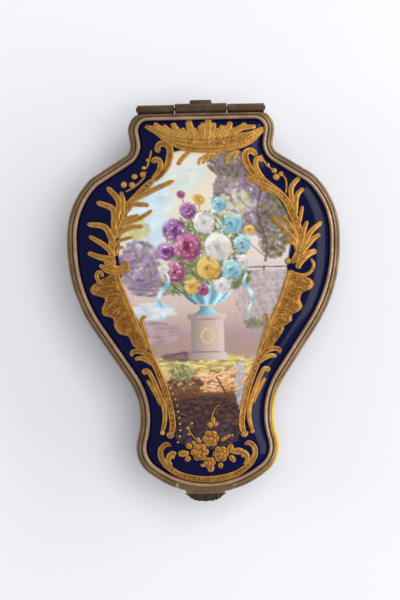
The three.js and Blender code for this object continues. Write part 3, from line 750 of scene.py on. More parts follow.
def make_plaque():
    """The domed lid plaque: a fine painted top, a coarse white underside and an edge that joins them."""
    x, y = plaque_grid()
    z = dome_z(x.ravel(), y.ravel()).reshape(x.shape)
    coarse_x, coarse_y = x[::COARSE, ::COARSE], y[::COARSE, ::COARSE]
    coarse_z = z[::COARSE, ::COARSE] - PLAQUE_THICKNESS
    rows, cols = coarse_x.shape[0] - 1, coarse_x.shape[1] - 1
    coarse_z = np.maximum(coarse_z, LID_Z + FLANGE + SEAT_GAP)
    fine = np.stack([x.ravel(), y.ravel(), z.ravel()], axis=1)
    under = np.stack([coarse_x.ravel(), coarse_y.ravel(), coarse_z.ravel()], axis=1)
    points = np.vstack([fine, under])
    quads = []
    for r in range(ROWS):
        quads += strip_faces(COLUMNS + 1, r * (COLUMNS + 1), (r + 1) * (COLUMNS + 1))
    start = len(fine)
    for r in range(rows):
        base = start + r * (cols + 1)
        quads += [(base + c, base + cols + 1 + c, base + cols + 2 + c, base + c + 1) for c in range(cols)]
    top_count = ROWS * COLUMNS
    fine_loop = [r * (COLUMNS + 1) + c for r, c in border(ROWS, COLUMNS)]
    coarse_loop = [start + r * (cols + 1) + c for r, c in border(rows, cols)]
    for k, low in enumerate(coarse_loop):
        next_low = coarse_loop[(k + 1) % len(coarse_loop)]
        for i in range(COARSE):
            a, b = fine_loop[k * COARSE + i], fine_loop[(k * COARSE + i + 1) % len(fine_loop)]
            quads.append((a, b, low))
        quads.append((fine_loop[((k + 1) * COARSE) % len(fine_loop)], next_low, low))
    piece = new_object("painted_plaque", to_frame(points), quads, [PAINTED, WHITE_GLAZE])
    face_outwards(piece)
    for polygon in piece.data.polygons[top_count:]:
        polygon.material_index = 1
    colours = np.ones((len(points), 4))
    colours[:, :3] = paint_reserve().sample(points[:, 0], points[:, 1])
    colours[:, 3] = inside_share(points[:, 0], points[:, 1], RESERVE, RESERVE_SOFTNESS)
    attribute = piece.data.color_attributes.new("paint", "FLOAT_COLOR", "POINT")
    attribute.data.foreach_set("color", colours.ravel())
    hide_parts("lid_plaque")
    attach(piece, "lid")


# Mounts. The tones say how dark the brass is at the points of each arc, from 0 for bright to 1 for dark.
# They paint a highlight along each reed and the lip's top, and shade on the flanks and in the grooves.
OUTER_REED_TONES = (1.0, 0.95, 0.9, 0.85, 0.8, 0.75, 0.65, 0.6, 0.6, 0.7, 0.85, 1.0, 1.0)
INNER_REED_TONES = (1.0, 0.9, 0.8, 0.65, 0.5, 0.5, 0.6, 0.75, 0.9, 1.0, 1.0)
LIP_TONES = (1.0, 1.0, 0.8, 0.5, 0.2, 0.0, 0.0, 0.1, 0.35, 0.6, 0.85, 1.0, 1.0)
FLANGE_TONE = 0.2
RING_DENSITY = 4

# Painted highlight: the outer reed is painted bright yellow on the right of the waist, where light from the
# right glints on it.
PAINTED_GLINT_Y = -59.0
PAINTED_GLINT_REACH = 15.0
PAINTED_GLINT_X = 15.0
PAINTED_GLINT_FADE = 5.0
PAINTED_GLINT_OFFSET = WEB_OUTER + 1.2

# Rooms in the mounts for the knuckles, the leaves and the thumbpiece's base plate.
KNUCKLE_ROOM_X = (-24.3, 24.3)
KNUCKLE_ROOM_Y = (58.2, 64)
LEAF_ROOM_Y = (57.5, 64)
LEAF_DEPTH = 2.6
LID_LEAF_HALF = 11.9
LOWER_LEAF_X = (9.5, 24.0)
ALL_HEIGHTS = (0, 70)
PAST_SEAM = 5
PLATE_OFFSET = -2.35
PLATE_HALF = 10.1
PLATE_Z = (36.0, 45.0)
FRONT_Y = -60
BEYOND_FRONT_Y = -90.0


def arc(centre, height, radius, start, end, steps):
    """Points of an arc in a section, between two angles in degrees."""
    angles = [math.radians(start + (end - start) * k / steps) for k in range(steps + 1)]
    return [(centre + radius * math.cos(a), height + radius * math.sin(a)) for a in angles]


def toned(points, tones):
    """Points of a section with their tones."""
    return [(*point, tone) for point, tone in zip(points, tones)]


def reed_meeting(own, other):
    """Angle at a reed's centre, from the line to the other reed's centre to where the two meet."""
    cosine = (REED_SPACING ** 2 + own ** 2 - other ** 2) / (2 * REED_SPACING * own)
    return math.degrees(math.acos(cosine))


def mount_section(edge):
    """A flange, two reeds and the given inner edge, as offset, height over the seam face and tone."""
    outer_end = REED_RISE - reed_meeting(OUTER_REED, INNER_REED)
    inner_start = REED_RISE - 180 + reed_meeting(INNER_REED, OUTER_REED)
    outer = arc(-OUTER_REED, OUTER_REED, OUTER_REED, -60, outer_end, 12)
    inner = arc(INNER_REED_X, INNER_REED_H, INNER_REED, inner_start, 180, 10)
    section = [(FLANGE_INNER, 0, FLANGE_TONE), (FLANGE_EDGE, 0, 0.4)]
    section += toned(outer, OUTER_REED_TONES) + toned(inner, INNER_REED_TONES) + edge
    section += [(WEB_INNER, FLANGE, FLANGE_TONE), (FLANGE_INNER, FLANGE, FLANGE_TONE)]
    return section


def outline_rings(offsets, heights):
    """The points of the outline at each offset and height of a section."""
    rings = [loop_points(offset, RING_DENSITY) for offset in offsets]
    return [np.c_[ring, np.full(len(ring), z)] for ring, z in zip(rings, heights)]


def swept(name, section, seam, sign):
    """A closed mount that follows the outline."""
    offsets, heights, tones = zip(*section)
    rings = outline_rings(offsets, [seam + sign * h for h in heights])
    count = len(rings[0])
    places = np.vstack(rings)
    faces = []
    for k in range(len(section)):
        faces += ring_faces(count, k * count, (k + 1) % len(section) * count)
    piece = new_object(name, to_frame(places), faces, [MOUNT_BRASS])
    face_outwards(piece)
    set_attribute(piece, "tone", np.repeat(tones, count))
    # Painted highlight: the outside of the section turns bright yellow on the right of the waist.
    near = np.exp(-((places[:, 1] - PAINTED_GLINT_Y) / PAINTED_GLINT_REACH) ** 4)
    near *= np.clip((places[:, 0] - PAINTED_GLINT_X) / PAINTED_GLINT_FADE, 0, 1)
    outside = np.repeat([1.0 if offset > PAINTED_GLINT_OFFSET else 0.0 for offset in offsets], count)
    set_attribute(piece, "polish", near * outside)
    return piece


def cutter(name, x_span, y_span, z_span):
    """A box that cuts a room, from its three spans in millimetres."""
    verts = [(x * MM, (y + SHIFT_Y) * MM, z * MM) for x in x_span for y in y_span for z in z_span]
    faces = [(0, 1, 3, 2), (4, 6, 7, 5), (0, 4, 5, 1), (2, 3, 7, 6), (0, 2, 6, 4), (1, 5, 7, 3)]
    piece = new_object(name, verts, faces, [], smooth=False)
    face_outwards(piece)
    return piece


def rim_cutter(name, offset, half, low_z, high_z):
    """Everything outside the moved outline at the front, as wide as the thumbpiece's base plate."""
    loop = loop_points(offset, 8)
    near = loop[(loop[:, 1] < FRONT_Y) & (abs(loop[:, 0] - THUMB_X) < half)]
    near = near[np.argsort(near[:, 0])]
    left, right = THUMB_X - half, THUMB_X + half
    outline = [(left, near[0][1])] + [tuple(p) for p in near] + [(right, near[-1][1])]
    outline += [(right, BEYOND_FRONT_Y), (left, BEYOND_FRONT_Y)]
    count = len(outline)
    verts = [(x, y, z) for z in (low_z, high_z) for x, y in outline]
    faces = [tuple(range(count)), tuple(range(2 * count - 1, count - 1, -1))]
    faces += ring_faces(count, 0, count)
    piece = new_object(name, to_frame(verts), faces, [], smooth=False)
    face_outwards(piece)
    return piece


def cut(piece, cutters):
    """The piece without the room of the cutters, which are removed."""
    for tool in cutters:
        modifier = piece.modifiers.new("cut", "BOOLEAN")
        modifier.object = tool
        modifier.solver = "EXACT"
    name = piece.name
    piece.name = name + "_uncut"
    made = apply_modifiers(piece, name)
    for tool in cutters:
        bpy.data.objects.remove(tool)
    return made


def make_mounts():
    """The lid's rim with its lip, and the lower rim."""
    lip = toned(arc(LIP_CENTRE, LIP_HEIGHT, LIP_RADIUS, 0, 180, 12), LIP_TONES)
    lid = swept("lid_rim", mount_section(lip + [(WEB_INNER, LIP_HEIGHT, 0.6)]), LID_Z, 1)
    lid_leaf_x = (-LID_LEAF_HALF, LID_LEAF_HALF)
    lid = cut(lid, [
        cutter("knuckle_room", KNUCKLE_ROOM_X, KNUCKLE_ROOM_Y, ALL_HEIGHTS),
        cutter("leaf_room", lid_leaf_x, LEAF_ROOM_Y, (SEAM_Z - PAST_SEAM, LID_Z + LEAF_DEPTH)),
        rim_cutter("plate_room", PLATE_OFFSET, PLATE_HALF, *PLATE_Z),
    ])
    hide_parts("lid_mount")
    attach(lid, "lid")
    edge = [(*p, 0.3) for p in arc(LIP_CENTRE, LIP_HEIGHT, LIP_RADIUS, 0, 60, 5)]
    base = swept("lower_rim", mount_section(edge), BODY_Z, -1)
    leaf_z = (BODY_Z - LEAF_DEPTH, SEAM_Z + PAST_SEAM)
    left_leaf_x = [-x for x in reversed(LOWER_LEAF_X)]
    base = cut(base, [
        cutter("knuckle_room", KNUCKLE_ROOM_X, KNUCKLE_ROOM_Y, ALL_HEIGHTS),
        cutter("left_leaf_room", left_leaf_x, LEAF_ROOM_Y, leaf_z),
        cutter("right_leaf_room", LOWER_LEAF_X, LEAF_ROOM_Y, leaf_z),
    ])
    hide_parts("lower_mount")
    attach(base, "base")


# Shell. Its section is given by offsets inwards from the porcelain's edge and from the wall's inner face.
SHELL_FLOOR_Z = 4.2
FOOT_INSET = 5.2
FOOT_WIDTH = 2.2
FOOT_CHAMFER = 0.2
FOOT_HOLLOW_Z = 1.8
INSIDE_CURVE = [(4.5, SHELL_FLOOR_Z), (3.2, 4.45), (2.0, 5.4), (1.2, 6.8), (0.8, 8.7)]
OUTSIDE_CURVE = [(0.5, 17), (0.8, 9.0), (1.25, 6.8), (2.3, 4.6), (3.8, 2.9)]
SHELL_SHOULDER_Z = 31


def make_shell():
    """The deep lower shell with its foot ring, cobalt outside and white inside and underneath."""
    top = BODY_Z - FLANGE - SEAT_GAP
    inner = PORCELAIN_EDGE - WALL
    foot = PORCELAIN_EDGE - FOOT_INSET
    inside = [(inner - inset, z) for inset, z in INSIDE_CURVE] + [(inner, top)]
    outside = [(PORCELAIN_EDGE, top), (PORCELAIN_EDGE, SHELL_SHOULDER_Z)]
    outside += [(PORCELAIN_EDGE - inset, z) for inset, z in OUTSIDE_CURVE]
    foot_inner = foot - FOOT_WIDTH
    outside += [(foot, FOOT_HOLLOW_Z), (foot, 0.15), (foot - FOOT_CHAMFER, 0)]
    outside += [(foot_inner + FOOT_CHAMFER, 0), (foot_inner, FOOT_CHAMFER), (foot_inner, FOOT_HOLLOW_Z)]
    profile = inside + outside
    rings = outline_rings(*zip(*profile))
    count = len(rings[0])
    middles = np.array([[0, 0, SHELL_FLOOR_Z], [0, 0, FOOT_HOLLOW_Z]])
    faces = []
    for k in range(len(profile) - 1):
        faces += ring_faces(count, k * count, (k + 1) * count)
    inside_end = len(inside) * count
    underside_start = len(faces) - 2 * count
    middle = len(profile) * count
    last = (len(profile) - 1) * count
    faces += [(middle, (i + 1) % count, i) for i in range(count)]
    faces += [(middle + 1, last + i, last + (i + 1) % count) for i in range(count)]
    points = to_frame(np.vstack(rings + [middles]))
    piece = new_object("glazed_shell", points, faces, [COBALT, WHITE_GLAZE])
    face_outwards(piece)
    for index, polygon in enumerate(piece.data.polygons):
        if index < inside_end or index >= underside_start:
            polygon.material_index = 1
    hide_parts("lower_shell")
    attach(piece, "base")


# Raised gilding. A section is given by places across the stroke, with height and tone as shares. The tones
# paint a highlight on the shoulders, a browner middle and shade at the foot.
LEAF = ((-1.0, 0.0, 0.9), (-0.84, 0.66, 0.1), (-0.56, 0.92, 0.12), (0.0, 1.0, 0.6), (0.56, 0.92, 0.12),
        (0.84, 0.66, 0.1), (1.0, 0.0, 0.9))
BAND = ((-1.0, 0.0, 0.9), (-0.9, 0.75, 0.2), (-0.72, 1.0, 0.0), (-0.52, 0.68, 0.55), (0.0, 0.62, 0.6),
        (0.52, 0.68, 0.55), (0.72, 1.0, 0.0), (0.9, 0.75, 0.2), (1.0, 0.0, 0.9))
SINK = 0.2
# Painted shade at the foot of each stroke, where it meets the glaze.
FOOT_TONE = 0.9
STIPPLE = 0.3
CREST_BRIGHTENING = 0.28
BUTTON_RINGS = ((1.0, -SINK), (0.98, 0.35), (0.7, 0.85), (0.3, 1.0))
BUTTON_SIDES = 10

# The broad leaves at the sides and the crest lie between two edges each.
CREST_LOW = [(-20.8, 53.6), (-16.8, 51.2), (-12.6, 48.4), (-8, 46.2), (-3, 45), (3, 44.7), (9, 45),
             (15, 46.2), (19, 48), (22, 50.4), (24.8, 52.2)]
CREST_HIGH = [(-20.6, 54.4), (-16.2, 53.4), (-12, 51.6), (-8, 50.4), (-3, 50.2), (3, 50.6), (9, 50.6),
              (14, 50.6), (18, 51.2), (22, 52.6), (24.8, 52.8)]
LEFT_INNER = [(-32.4, 0), (-31.8, -2.6), (-31, -5.2), (-29.9, -7.8), (-28.9, -10.4), (-27.9, -13),
              (-26.9, -15.6), (-25.9, -18.2), (-24.8, -20.8), (-23.8, -23.4), (-22.6, -26.4), (-21.6, -29.4),
              (-20, -33)]
LEFT_OUTER = [(-36, -1.6), (-41.8, -5.2), (-41.9, -8), (-37, -10), (-38.2, -13.6), (-37.8, -16),
              (-34.2, -17.4), (-33.6, -20.8), (-31.6, -23.2), (-28.6, -24.2), (-27, -27.4), (-24.4, -29.4),
              (-20.8, -33.4)]
RIGHT_INNER = [(31.6, -1), (30.8, -3.6), (30, -6.2), (29, -9), (28, -11.8), (26.8, -14.4), (25.4, -17),
               (24.2, -19.6), (23.2, -22.4), (22.4, -25.4), (21.4, -28.6), (20.4, -31.2), (19.4, -33.4)]
RIGHT_OUTER = [(35, -2.6), (38.6, -3.6), (40.6, -5.6), (39.6, -7.8), (36.4, -9.2), (35.4, -11.6),
               (36.2, -14.2), (34.8, -16), (32.4, -17.2), (32, -19.6), (29.4, -20.6), (28.4, -24),
               (20.6, -34)]

# Paths that both a gilt band and its row of beads follow.
LEFT_BAND = [(-17.6, 34), (-21, 31), (-24.4, 27.6), (-28, 24), (-30.6, 20.4), (-32.6, 16), (-33.8, 11),
             (-34, 6), (-33.4, 2)]
RIGHT_BAND = [(19.4, 36.6), (23.1, 32.2), (27.3, 28.7), (30.7, 25.2), (33.1, 20), (35.1, 14.9), (35.9, 9.7),
              (34.9, 5.5), (32.7, 1.7)]
LOWER_BAND = [(-27.4, -31.6), (-27.2, -30), (-25, -29.6), (-22.4, -30.4), (-20.2, -32.6), (-18.6, -35.6),
              (-17, -39.6), (-15.4, -44), (-14.2, -48.4), (-13.2, -53), (-12.8, -57.4), (-13.6, -61.4)]
SWAG = [(-13.6, -64.8), (-15.6, -64.4), (-17.4, -66.4), (-17.4, -69), (-15.9, -71.8), (-13.4, -74.1),
        (-10, -76.1), (-5, -77.4), (0, -77.8)]


def whole(half):
    """A path that ends on the middle line, with its mirrored half."""
    return half + [(-x, y) for x, y in reversed(half[:-1])]


def bowed(x0, y0, x1, y1, bow):
    """Three points of a short path that rises from its chord."""
    return [(x0, y0), ((x0 + x1) / 2, (y0 + y1) / 2 + bow), (x1, y1)]


def sides(mirror):
    """The sides on which a shape is made: as given, or also mirrored."""
    return (1, -1) if mirror else (1,)


def smooth_path(points, count):
    """A smooth path through the points."""
    points = np.array(points, float)
    padded = np.vstack([2 * points[0] - points[1], points, 2 * points[-1] - points[-2]])
    at = np.linspace(0, len(points) - 1 - 1e-6, count)
    index = at.astype(int)
    t = (at - index)[:, None]
    a, b, c, d = (padded[index + k] for k in range(4))
    square = 2 * a - 5 * b + 4 * c - d
    cube = 3 * b - a - 3 * c + d
    return 0.5 * (2 * b + (c - a) * t + square * t ** 2 + cube * t ** 3)


class Relief:
    """Gathers raised strokes that lie on the dome, and makes one mesh of them."""

    def __init__(self):
        self.verts, self.faces, self.tones = [], [], []
        self.brightening = 0.0

    def bridge(self, start, rows, count):
        """Closes rows of points into a tube with two ends."""
        for k in range(rows):
            self.faces += strip_faces(count, start + k * count, start + (k + 1) % rows * count)
        self.faces.append(tuple(start + k * count for k in range(rows)))
        self.faces.append(tuple(start + k * count + count - 1 for k in reversed(range(rows))))

    def stroke(self, points, width, height, taper, steps, section=LEAF, mirror=False):
        """A stroke through points, with a width in millimetres and shares of it at its two ends."""
        for side in sides(mirror):
            self.lay(smooth_path([(side * x, y) for x, y in points], steps), width, height, section, taper)

    def lay(self, path, width, height, section, taper):
        """Lays a section along a path on the dome."""
        count = len(path)
        along = np.gradient(path, axis=0)
        along /= np.maximum(1e-9, np.linalg.norm(along, axis=1))[:, None]
        aside = np.stack([-along[:, 1], along[:, 0]], axis=1)
        places = [0, 0.04, 0.2, 0.6, 0.96, 1]
        widths = [0.3 * taper[0], taper[0], 0.5 + 0.5 * taper[0], 1.0, taper[1], 0.3 * taper[1]]
        share = np.interp(np.linspace(0, 1, count), places, widths)
        half = width / 2 * share
        start = len(self.verts)
        rows = [(section[0][0], None, FOOT_TONE), *section, (section[-1][0], None, FOOT_TONE)]
        for across, rise, tone in rows:
            spots = path + aside * (across * half)[:, None]
            z = dome_z(spots[:, 0], spots[:, 1])
            z = z - SINK if rise is None else z + rise * height * (0.35 + 0.65 * np.sqrt(share))
            self.verts += [tuple(v) for v in np.c_[spots, z]]
            self.tones += [max(0.0, tone - self.brightening)] * count
        self.bridge(start, len(rows), count)

    def patch(self, first, second, height, steps, across):
        """A broad low field between two edge lines, with raised edges and a stippled middle."""
        start = len(self.verts)
        lines = [smooth_path(line, steps) for line in (first, second)]
        shares = [0.0, *np.linspace(0, 1, across), 1.0]
        ends = np.clip(np.minimum(np.arange(steps), np.arange(steps)[::-1]) / 3, 0, 1)
        for k, t in enumerate(shares):
            spots = lines[0] * (1 - t) + lines[1] * t
            edge = min(t, 1 - t)
            rise = min(1.0, edge * 12) * (0.75 + 0.35 * math.exp(-((edge - 0.1) / 0.06) ** 2))
            middle = min(1.0, edge * 5)
            grain = RNG.uniform(-STIPPLE, STIPPLE, steps) * middle
            sunk = k in (0, len(shares) - 1)
            lift = np.full(steps, -SINK) if sunk else height * (rise + grain) * ends
            self.verts += [tuple(v) for v in np.c_[spots, dome_z(spots[:, 0], spots[:, 1]) + lift]]
            # Painted highlight on the raised edges and the high points of the stipple; the low middle is
            # darker.
            self.tones += list(np.clip(0.05 + 0.6 * middle - 1.4 * grain - self.brightening, 0, 1))
        self.bridge(start, len(shares), steps)

    def disc(self, x, y, radius, height, mirror=False, tone=0.1):
        """A low round button on the dome."""
        count = BUTTON_SIDES
        for side in sides(mirror):
            start = len(self.verts)
            base = float(dome_z(side * x, y)[0])
            for r, h in BUTTON_RINGS:
                z = base + (h * height if h > 0 else h)
                for k in range(count):
                    a = 2 * math.pi * k / count
                    spot = (side * x + radius * r * math.cos(a), y + radius * r * math.sin(a), z)
                    self.verts.append(spot)
                    # Painted highlight on the top of the button, painted shade round its foot.
                    self.tones.append(tone if h > 0.5 else 0.8)
            last = start + (len(BUTTON_RINGS) - 1) * count
            for low in range(start, last, count):
                self.faces += ring_faces(count, low, low + count)
            self.faces.append(tuple(start + i for i in reversed(range(count))))
            self.faces.append(tuple(last + i for i in range(count)))

    def make(self, name, material):
        """The one piece of all that was laid."""
        piece = new_object(name, to_frame(self.verts), self.faces, [material])
        face_outwards(piece)
        set_attribute(piece, "tone", self.tones)
        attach(piece, "lid")
        return piece


def crest(relief):
    """The leafy crest under the hinge: a bow-shaped band with fingers over it and tendrils under it."""
    relief.patch(CREST_LOW, CREST_HIGH, 0.55, 150, 14)
    relief.stroke([(-21, 53.6), (-17, 51.2), (-13, 48), (-8, 45.4), (-3, 44.2), (3, 43.9), (9, 44.3),
                   (15, 45.5), (19, 47.4), (22, 50.4), (25, 52)], 1.5, 0.7, (0.7, 0.7), 70, section=BAND)
    relief.stroke([(-13, 49.6), (-8, 48), (-2, 47.4), (4, 47.4), (10, 47.9), (16, 49.6)], 0.8, 0.8,
                  (0.5, 0.5), 40)
    tips = [
        (-17.4, 55.0, 2.2), (-15.6, 53.0, 1.7), (-14.0, 54.2, 2.0), (-12.4, 52.4, 1.7), (-10.6, 55.0, 2.5),
        (-9.0, 52.6, 1.8), (-7.2, 52.8, 2.0), (-4.7, 56.0, 3.1), (-2.6, 52.8, 1.8), (-0.6, 53.8, 1.8),
        (0.6, 55.0, 2.2), (2.7, 56.8, 3.1), (4.8, 54.8, 2.2), (6.2, 52.6, 1.8), (7.8, 53.8, 2.0),
        (9.4, 53.6, 1.8), (11.0, 55.0, 2.6), (12.6, 52.4, 1.8), (14.6, 53.0, 2.0), (16.7, 54.2, 2.6),
        (18.6, 53.0, 2.0), (20.4, 53.0, 1.9),
    ]
    for x, y, width in tips:
        low = 48.2 + 0.006 * x * x
        relief.stroke([(0.64 * x + 0.6, low), (0.78 * x + 0.4, low + 1.8),
                       (0.92 * x + 0.2, (low + y) / 2 + 0.9), (x, y)], width, 0.65, (0.5, 0.85), 14)
    tendrils = [
        [(-3.5, 44.4), (-6, 43), (-8, 41), (-9.2, 39)], [(-3.8, 44.0), (-6.6, 41.6), (-8.6, 38.9)],
        [(3.6, 43.2), (1.2, 42), (-0.8, 40.6), (-1.0, 38.8)], [(4.4, 43), (1.8, 41.2), (0.2, 39.2)],
        [(6.8, 43.2), (4.6, 42), (2.9, 40.4)], [(14, 44), (11, 42.4), (9.2, 40.4), (9.4, 38.6)],
        [(14, 43.6), (12.4, 42), (11.9, 40.2)], [(13, 44), (10.4, 42.6), (8.4, 40.6)],
    ]
    for tendril in tendrils:
        relief.stroke(tendril, 1.1, 0.45, (0.8, 1.0), 14)


def side_scroll(relief):
    """The hooked scrolls, bands, palm leaves and berries, laid out for each side by itself."""
    relief.stroke([(-15.6, 43.8), (-16.4, 45.4), (-15.2, 47), (-13, 46.8), (-11.7, 44.8), (-11.9, 42),
                   (-13, 38.6), (-15.4, 35.6), (-18.6, 33)], 2.8, 0.6, (0.7, 0.8), 44, section=BAND)
    relief.stroke([(-18.3, 40), (-17.2, 41.3), (-15.6, 40.6), (-15.4, 38.6), (-16.4, 36.4), (-18.6, 34)],
                  2.3, 0.6, (0.9, 0.6), 26)
    relief.stroke([(19.8, 41.8), (19.4, 43.2), (17.6, 43.8), (16.1, 42.6), (16.3, 40), (17.6, 37.4),
                   (19.6, 34.6), (22.4, 31.6)], 2.9, 0.6, (0.7, 0.8), 44, section=BAND)
    relief.stroke([(22.2, 39.6), (21.6, 41), (20.2, 40.4), (20, 38.4), (21, 36), (23.2, 33)], 2.3, 0.6,
                  (0.9, 0.6), 26)
    relief.stroke(LEFT_BAND, 3.0, 0.55, (0.8, 0.8), 70, section=BAND)
    relief.stroke(RIGHT_BAND, 3.2, 0.55, (0.8, 0.8), 70, section=BAND)
    left_leaves = [
        ((-29.6, 23.4), (-30.4, 26.4), (-30.2, 29.6), 1.5),
        ((-31.8, 20.4), (-32.8, 26), (-35.4, 31.6), 1.9), ((-33, 17), (-34.6, 23), (-39.4, 26), 1.9),
        ((-33.6, 13), (-35.4, 14.6), (-36.6, 16.2), 1.3), ((-34, 12), (-37.4, 16.6), (-43, 17.8), 1.8),
        ((-34.4, 7.6), (-38.4, 10.4), (-42.4, 13.4), 1.6), ((-34.4, 4.6), (-38.6, 5.4), (-43, 7.2), 1.7),
        ((-33.8, 2.4), (-36.6, 1.8), (-38.8, 2.4), 1.4), ((-24.6, 26.8), (-17.5, 29.8), (-10.4, 33.2), 1.6),
        ((-26, 24.6), (-22.4, 24.6), (-19.8, 24.2), 1.4), ((-29, 19), (-26, 19.8), (-23.6, 20.6), 1.5),
        ((-29.6, 17.4), (-22.6, 19.6), (-18.6, 22.4), 1.3),
        ((-30.6, 14.4), (-26.4, 16.2), (-22, 16.5), 1.4), ((-31.6, 11), (-28.6, 12), (-26, 12.6), 1.0),
        ((-32, 8), (-30.6, 8.8), (-29.6, 9), 1.0),
    ]
    for base, middle, tip, width in left_leaves:
        root = (base[0] + 0.35 * (base[0] - middle[0]), base[1] - 2.2)
        curl = (middle[0] + 0.16 * (tip[1] - base[1]) * (1 if tip[0] < base[0] else -1), middle[1])
        relief.stroke([root, base, curl, tip], 1.42 * width, 0.6, (0.7, 0.75), 20)
    right_leaves = [
        ((33.2, 25.2), (33.0, 29.9), (36.4, 33.9), 2.3), ((34.4, 21.7), (35.0, 26.8), (37.6, 29.6), 2.2),
        ((35.4, 16.1), (36.2, 19.5), (37.0, 23.0), 1.7), ((36.3, 9.3), (37.3, 14.0), (38.6, 17.3), 2.1),
        ((36.8, 7.4), (39.8, 13.2), (44.2, 17.0), 2.4), ((37.4, 6.8), (40.8, 10.8), (43.4, 12.4), 2.2),
        ((35.3, 1.6), (38.6, 5.0), (41.9, 6.3), 2.8), ((24.4, 30.4), (19.9, 32.3), (16.2, 34.4), 2.2),
        ((25.8, 28.2), (23.4, 29.4), (21.2, 29.7), 2.0), ((33.8, 10.6), (30.0, 14.3), (24.9, 19.6), 2.0),
        ((33.4, 14.0), (31.3, 17.2), (29.2, 19.6), 1.8), ((32.9, 11.6), (30.8, 13.6), (28.8, 14.4), 1.6),
        ((33.8, 8.4), (31.8, 9.8), (29.7, 10.2), 1.6),
    ]
    for base, middle, tip, width in right_leaves:
        root = (base[0] + 0.5 * (34.4 - base[0]), base[1] - 2.0)
        relief.stroke([root, base, middle, tip], width, 0.6, (0.7, 0.8), 20)
    relief.disc(31.1, 2.6, 1.3, 0.7)
    relief.stroke([(-38.6, 2.4), (-36, 0.4), (-32.4, -0.4), (-29.4, 0.2), (-28.2, 1.8), (-29, 3.2),
                   (-30.4, 2.6)], 2.4, 0.6, (0.6, 0.7), 30)
    relief.stroke([(-37, 4.6), (-34.6, 2), (-32, 1), (-30, 1.6)], 2.8, 0.5, (0.5, 0.6), 18)
    berries = [
        (-20, 41, 0.8), (-21.6, 38.2, 0.8), (-22, 35.8, 1.15), (-25, 35, 1.2), (-26, 32, 1.25),
        (-29, 32.1, 1.3), (24.4, 38.4, 0.9), (26.7, 36.2, 1.2), (29.2, 35.0, 1.1), (27.4, 33.8, 1.4),
    ]
    for x, y, radius in berries:
        relief.disc(x, y, radius, 0.6)
    stems = [
        [(-18.6, 44.8), (-19.2, 42), (-20, 39.4), (-21, 37.6)],
        [(-20.8, 37), (-22, 34), (-25, 31.4), (-28.4, 29.4)],
        [(22, 42.4), (22.8, 40.6), (24, 38.8), (26, 36.8)],
        [(29.4, 35), (30.8, 33.4), (31.2, 31), (30.9, 27.6)],
    ]
    for stem in stems:
        relief.stroke(stem, 0.8, 0.35, (0.9, 0.8), 16)


def side_acanthus(relief):
    """The broad stippled leaves over the waist, with their curls, inner ribs, veins and buttons."""
    relief.stroke([(-37, -4.6), (-38.8, -3.6), (-39.8, -1.8), (-39.4, -0.2), (-38, -0.4), (-37.8, -2)], 1.7,
                  0.55, (0.8, 0.8), 24)
    relief.stroke([(39.6, 3.4), (40.7, 1.1), (39.5, -1.5), (36.9, -2.7), (33.9, -2.1), (31.4, -0.8)], 1.5,
                  0.7, (0.8, 0.8), 30)
    relief.patch(LEFT_INNER, LEFT_OUTER, 0.5, 170, 22)
    relief.patch(RIGHT_INNER, RIGHT_OUTER, 0.5, 170, 22)
    relief.stroke([(31.6, -0.8), (30.4, -4.4), (28.8, -9), (27.2, -13.2), (25.2, -17.4), (23.4, -21.6),
                   (21.8, -27)], 1.5, 0.75, (0.9, 0.7), 54)
    relief.stroke([(-32.2, 0), (-31.4, -3), (-30, -7), (-27.8, -12.8), (-25.8, -18), (-23.6, -23.4),
                   (-21.4, -29.4)], 1.3, 0.75, (0.9, 0.7), 54)
    veins = [
        (-32.6, -5.4, -41, -6.6), (-31.2, -10.4, -37.2, -14.6), (-28.8, -15.4, -33.4, -19.4),
        (-26.4, -20.6, -29.6, -23.6), (-30.8, -8.6, -36.6, -9.2), (-29.8, -12.8, -35.4, -16.8),
        (31, -4.4, 39.2, -5.8), (28.8, -10.6, 34.8, -13.6), (30, -7.6, 37.2, -7.8),
        (27, -15, 32.6, -16.6), (25.4, -18.6, 30.4, -19.6), (24.2, -22, 27.4, -23.6),
    ]
    for x0, y0, x1, y1 in veins:
        relief.stroke(bowed(x0, y0, x1, y1, 0.7), 0.8, 0.68, (0.4, 0.8), 14)
    for x, y in ((-34, -4), (-32.6, -9.6), (-31.2, -12), (-29.6, -16.6)):
        relief.disc(x, y, 0.4, 0.85, mirror=True)
    relief.stroke([(-21.6, -16.8), (-23, -17.4), (-23.4, -19.4), (-22.4, -23), (-20.8, -28), (-19.4, -32)],
                  1.7, 0.6, (0.7, 0.7), 30, mirror=True)


def lower_scrolls(relief):
    """The two bands that run down the waist, the curls at their ends, and the swag that joins them."""
    relief.stroke(LOWER_BAND, 2.6, 0.55, (0.6, 0.9), 70, section=BAND, mirror=True)
    relief.stroke([(-26.4, -32.6), (-24, -32.2), (-21.6, -33.2), (-19.8, -35)], 2.0, 0.5, (0.7, 0.5), 14,
                  mirror=True)
    relief.stroke([(-22.2, -38.4), (-23.2, -37.2), (-21.6, -37), (-20, -39.6), (-18.6, -43), (-17, -47),
                   (-15.8, -51), (-15.6, -54.6), (-16, -57.4), (-16.6, -59.6)], 2.1, 0.65, (0.7, 0.8), 60,
                  mirror=True)
    relief.stroke([(-22, -40.4), (-20.6, -42.6), (-18.8, -46), (-17.4, -50)], 1.6, 0.5, (0.8, 0.4), 16,
                  mirror=True)
    relief.disc(-16.6, -60, 1.05, 0.55, mirror=True)
    relief.stroke([(-14.8, -60), (-13.8, -61.4), (-12.6, -60.6)], 1.9, 0.5, (0.8, 0.8), 14, mirror=True)
    relief.stroke(whole(SWAG), 2.7, 0.55, (0.7, 0.7), 130, section=BAND)
    relief.stroke([(-11.8, -68.2), (-13.2, -67.8), (-14.4, -69), (-14.6, -70.8), (-13.4, -72.6)], 2.3, 0.55,
                  (0.9, 0.6), 24, mirror=True)
    relief.disc(-12.9, -69.1, 0.7, 0.5, mirror=True)


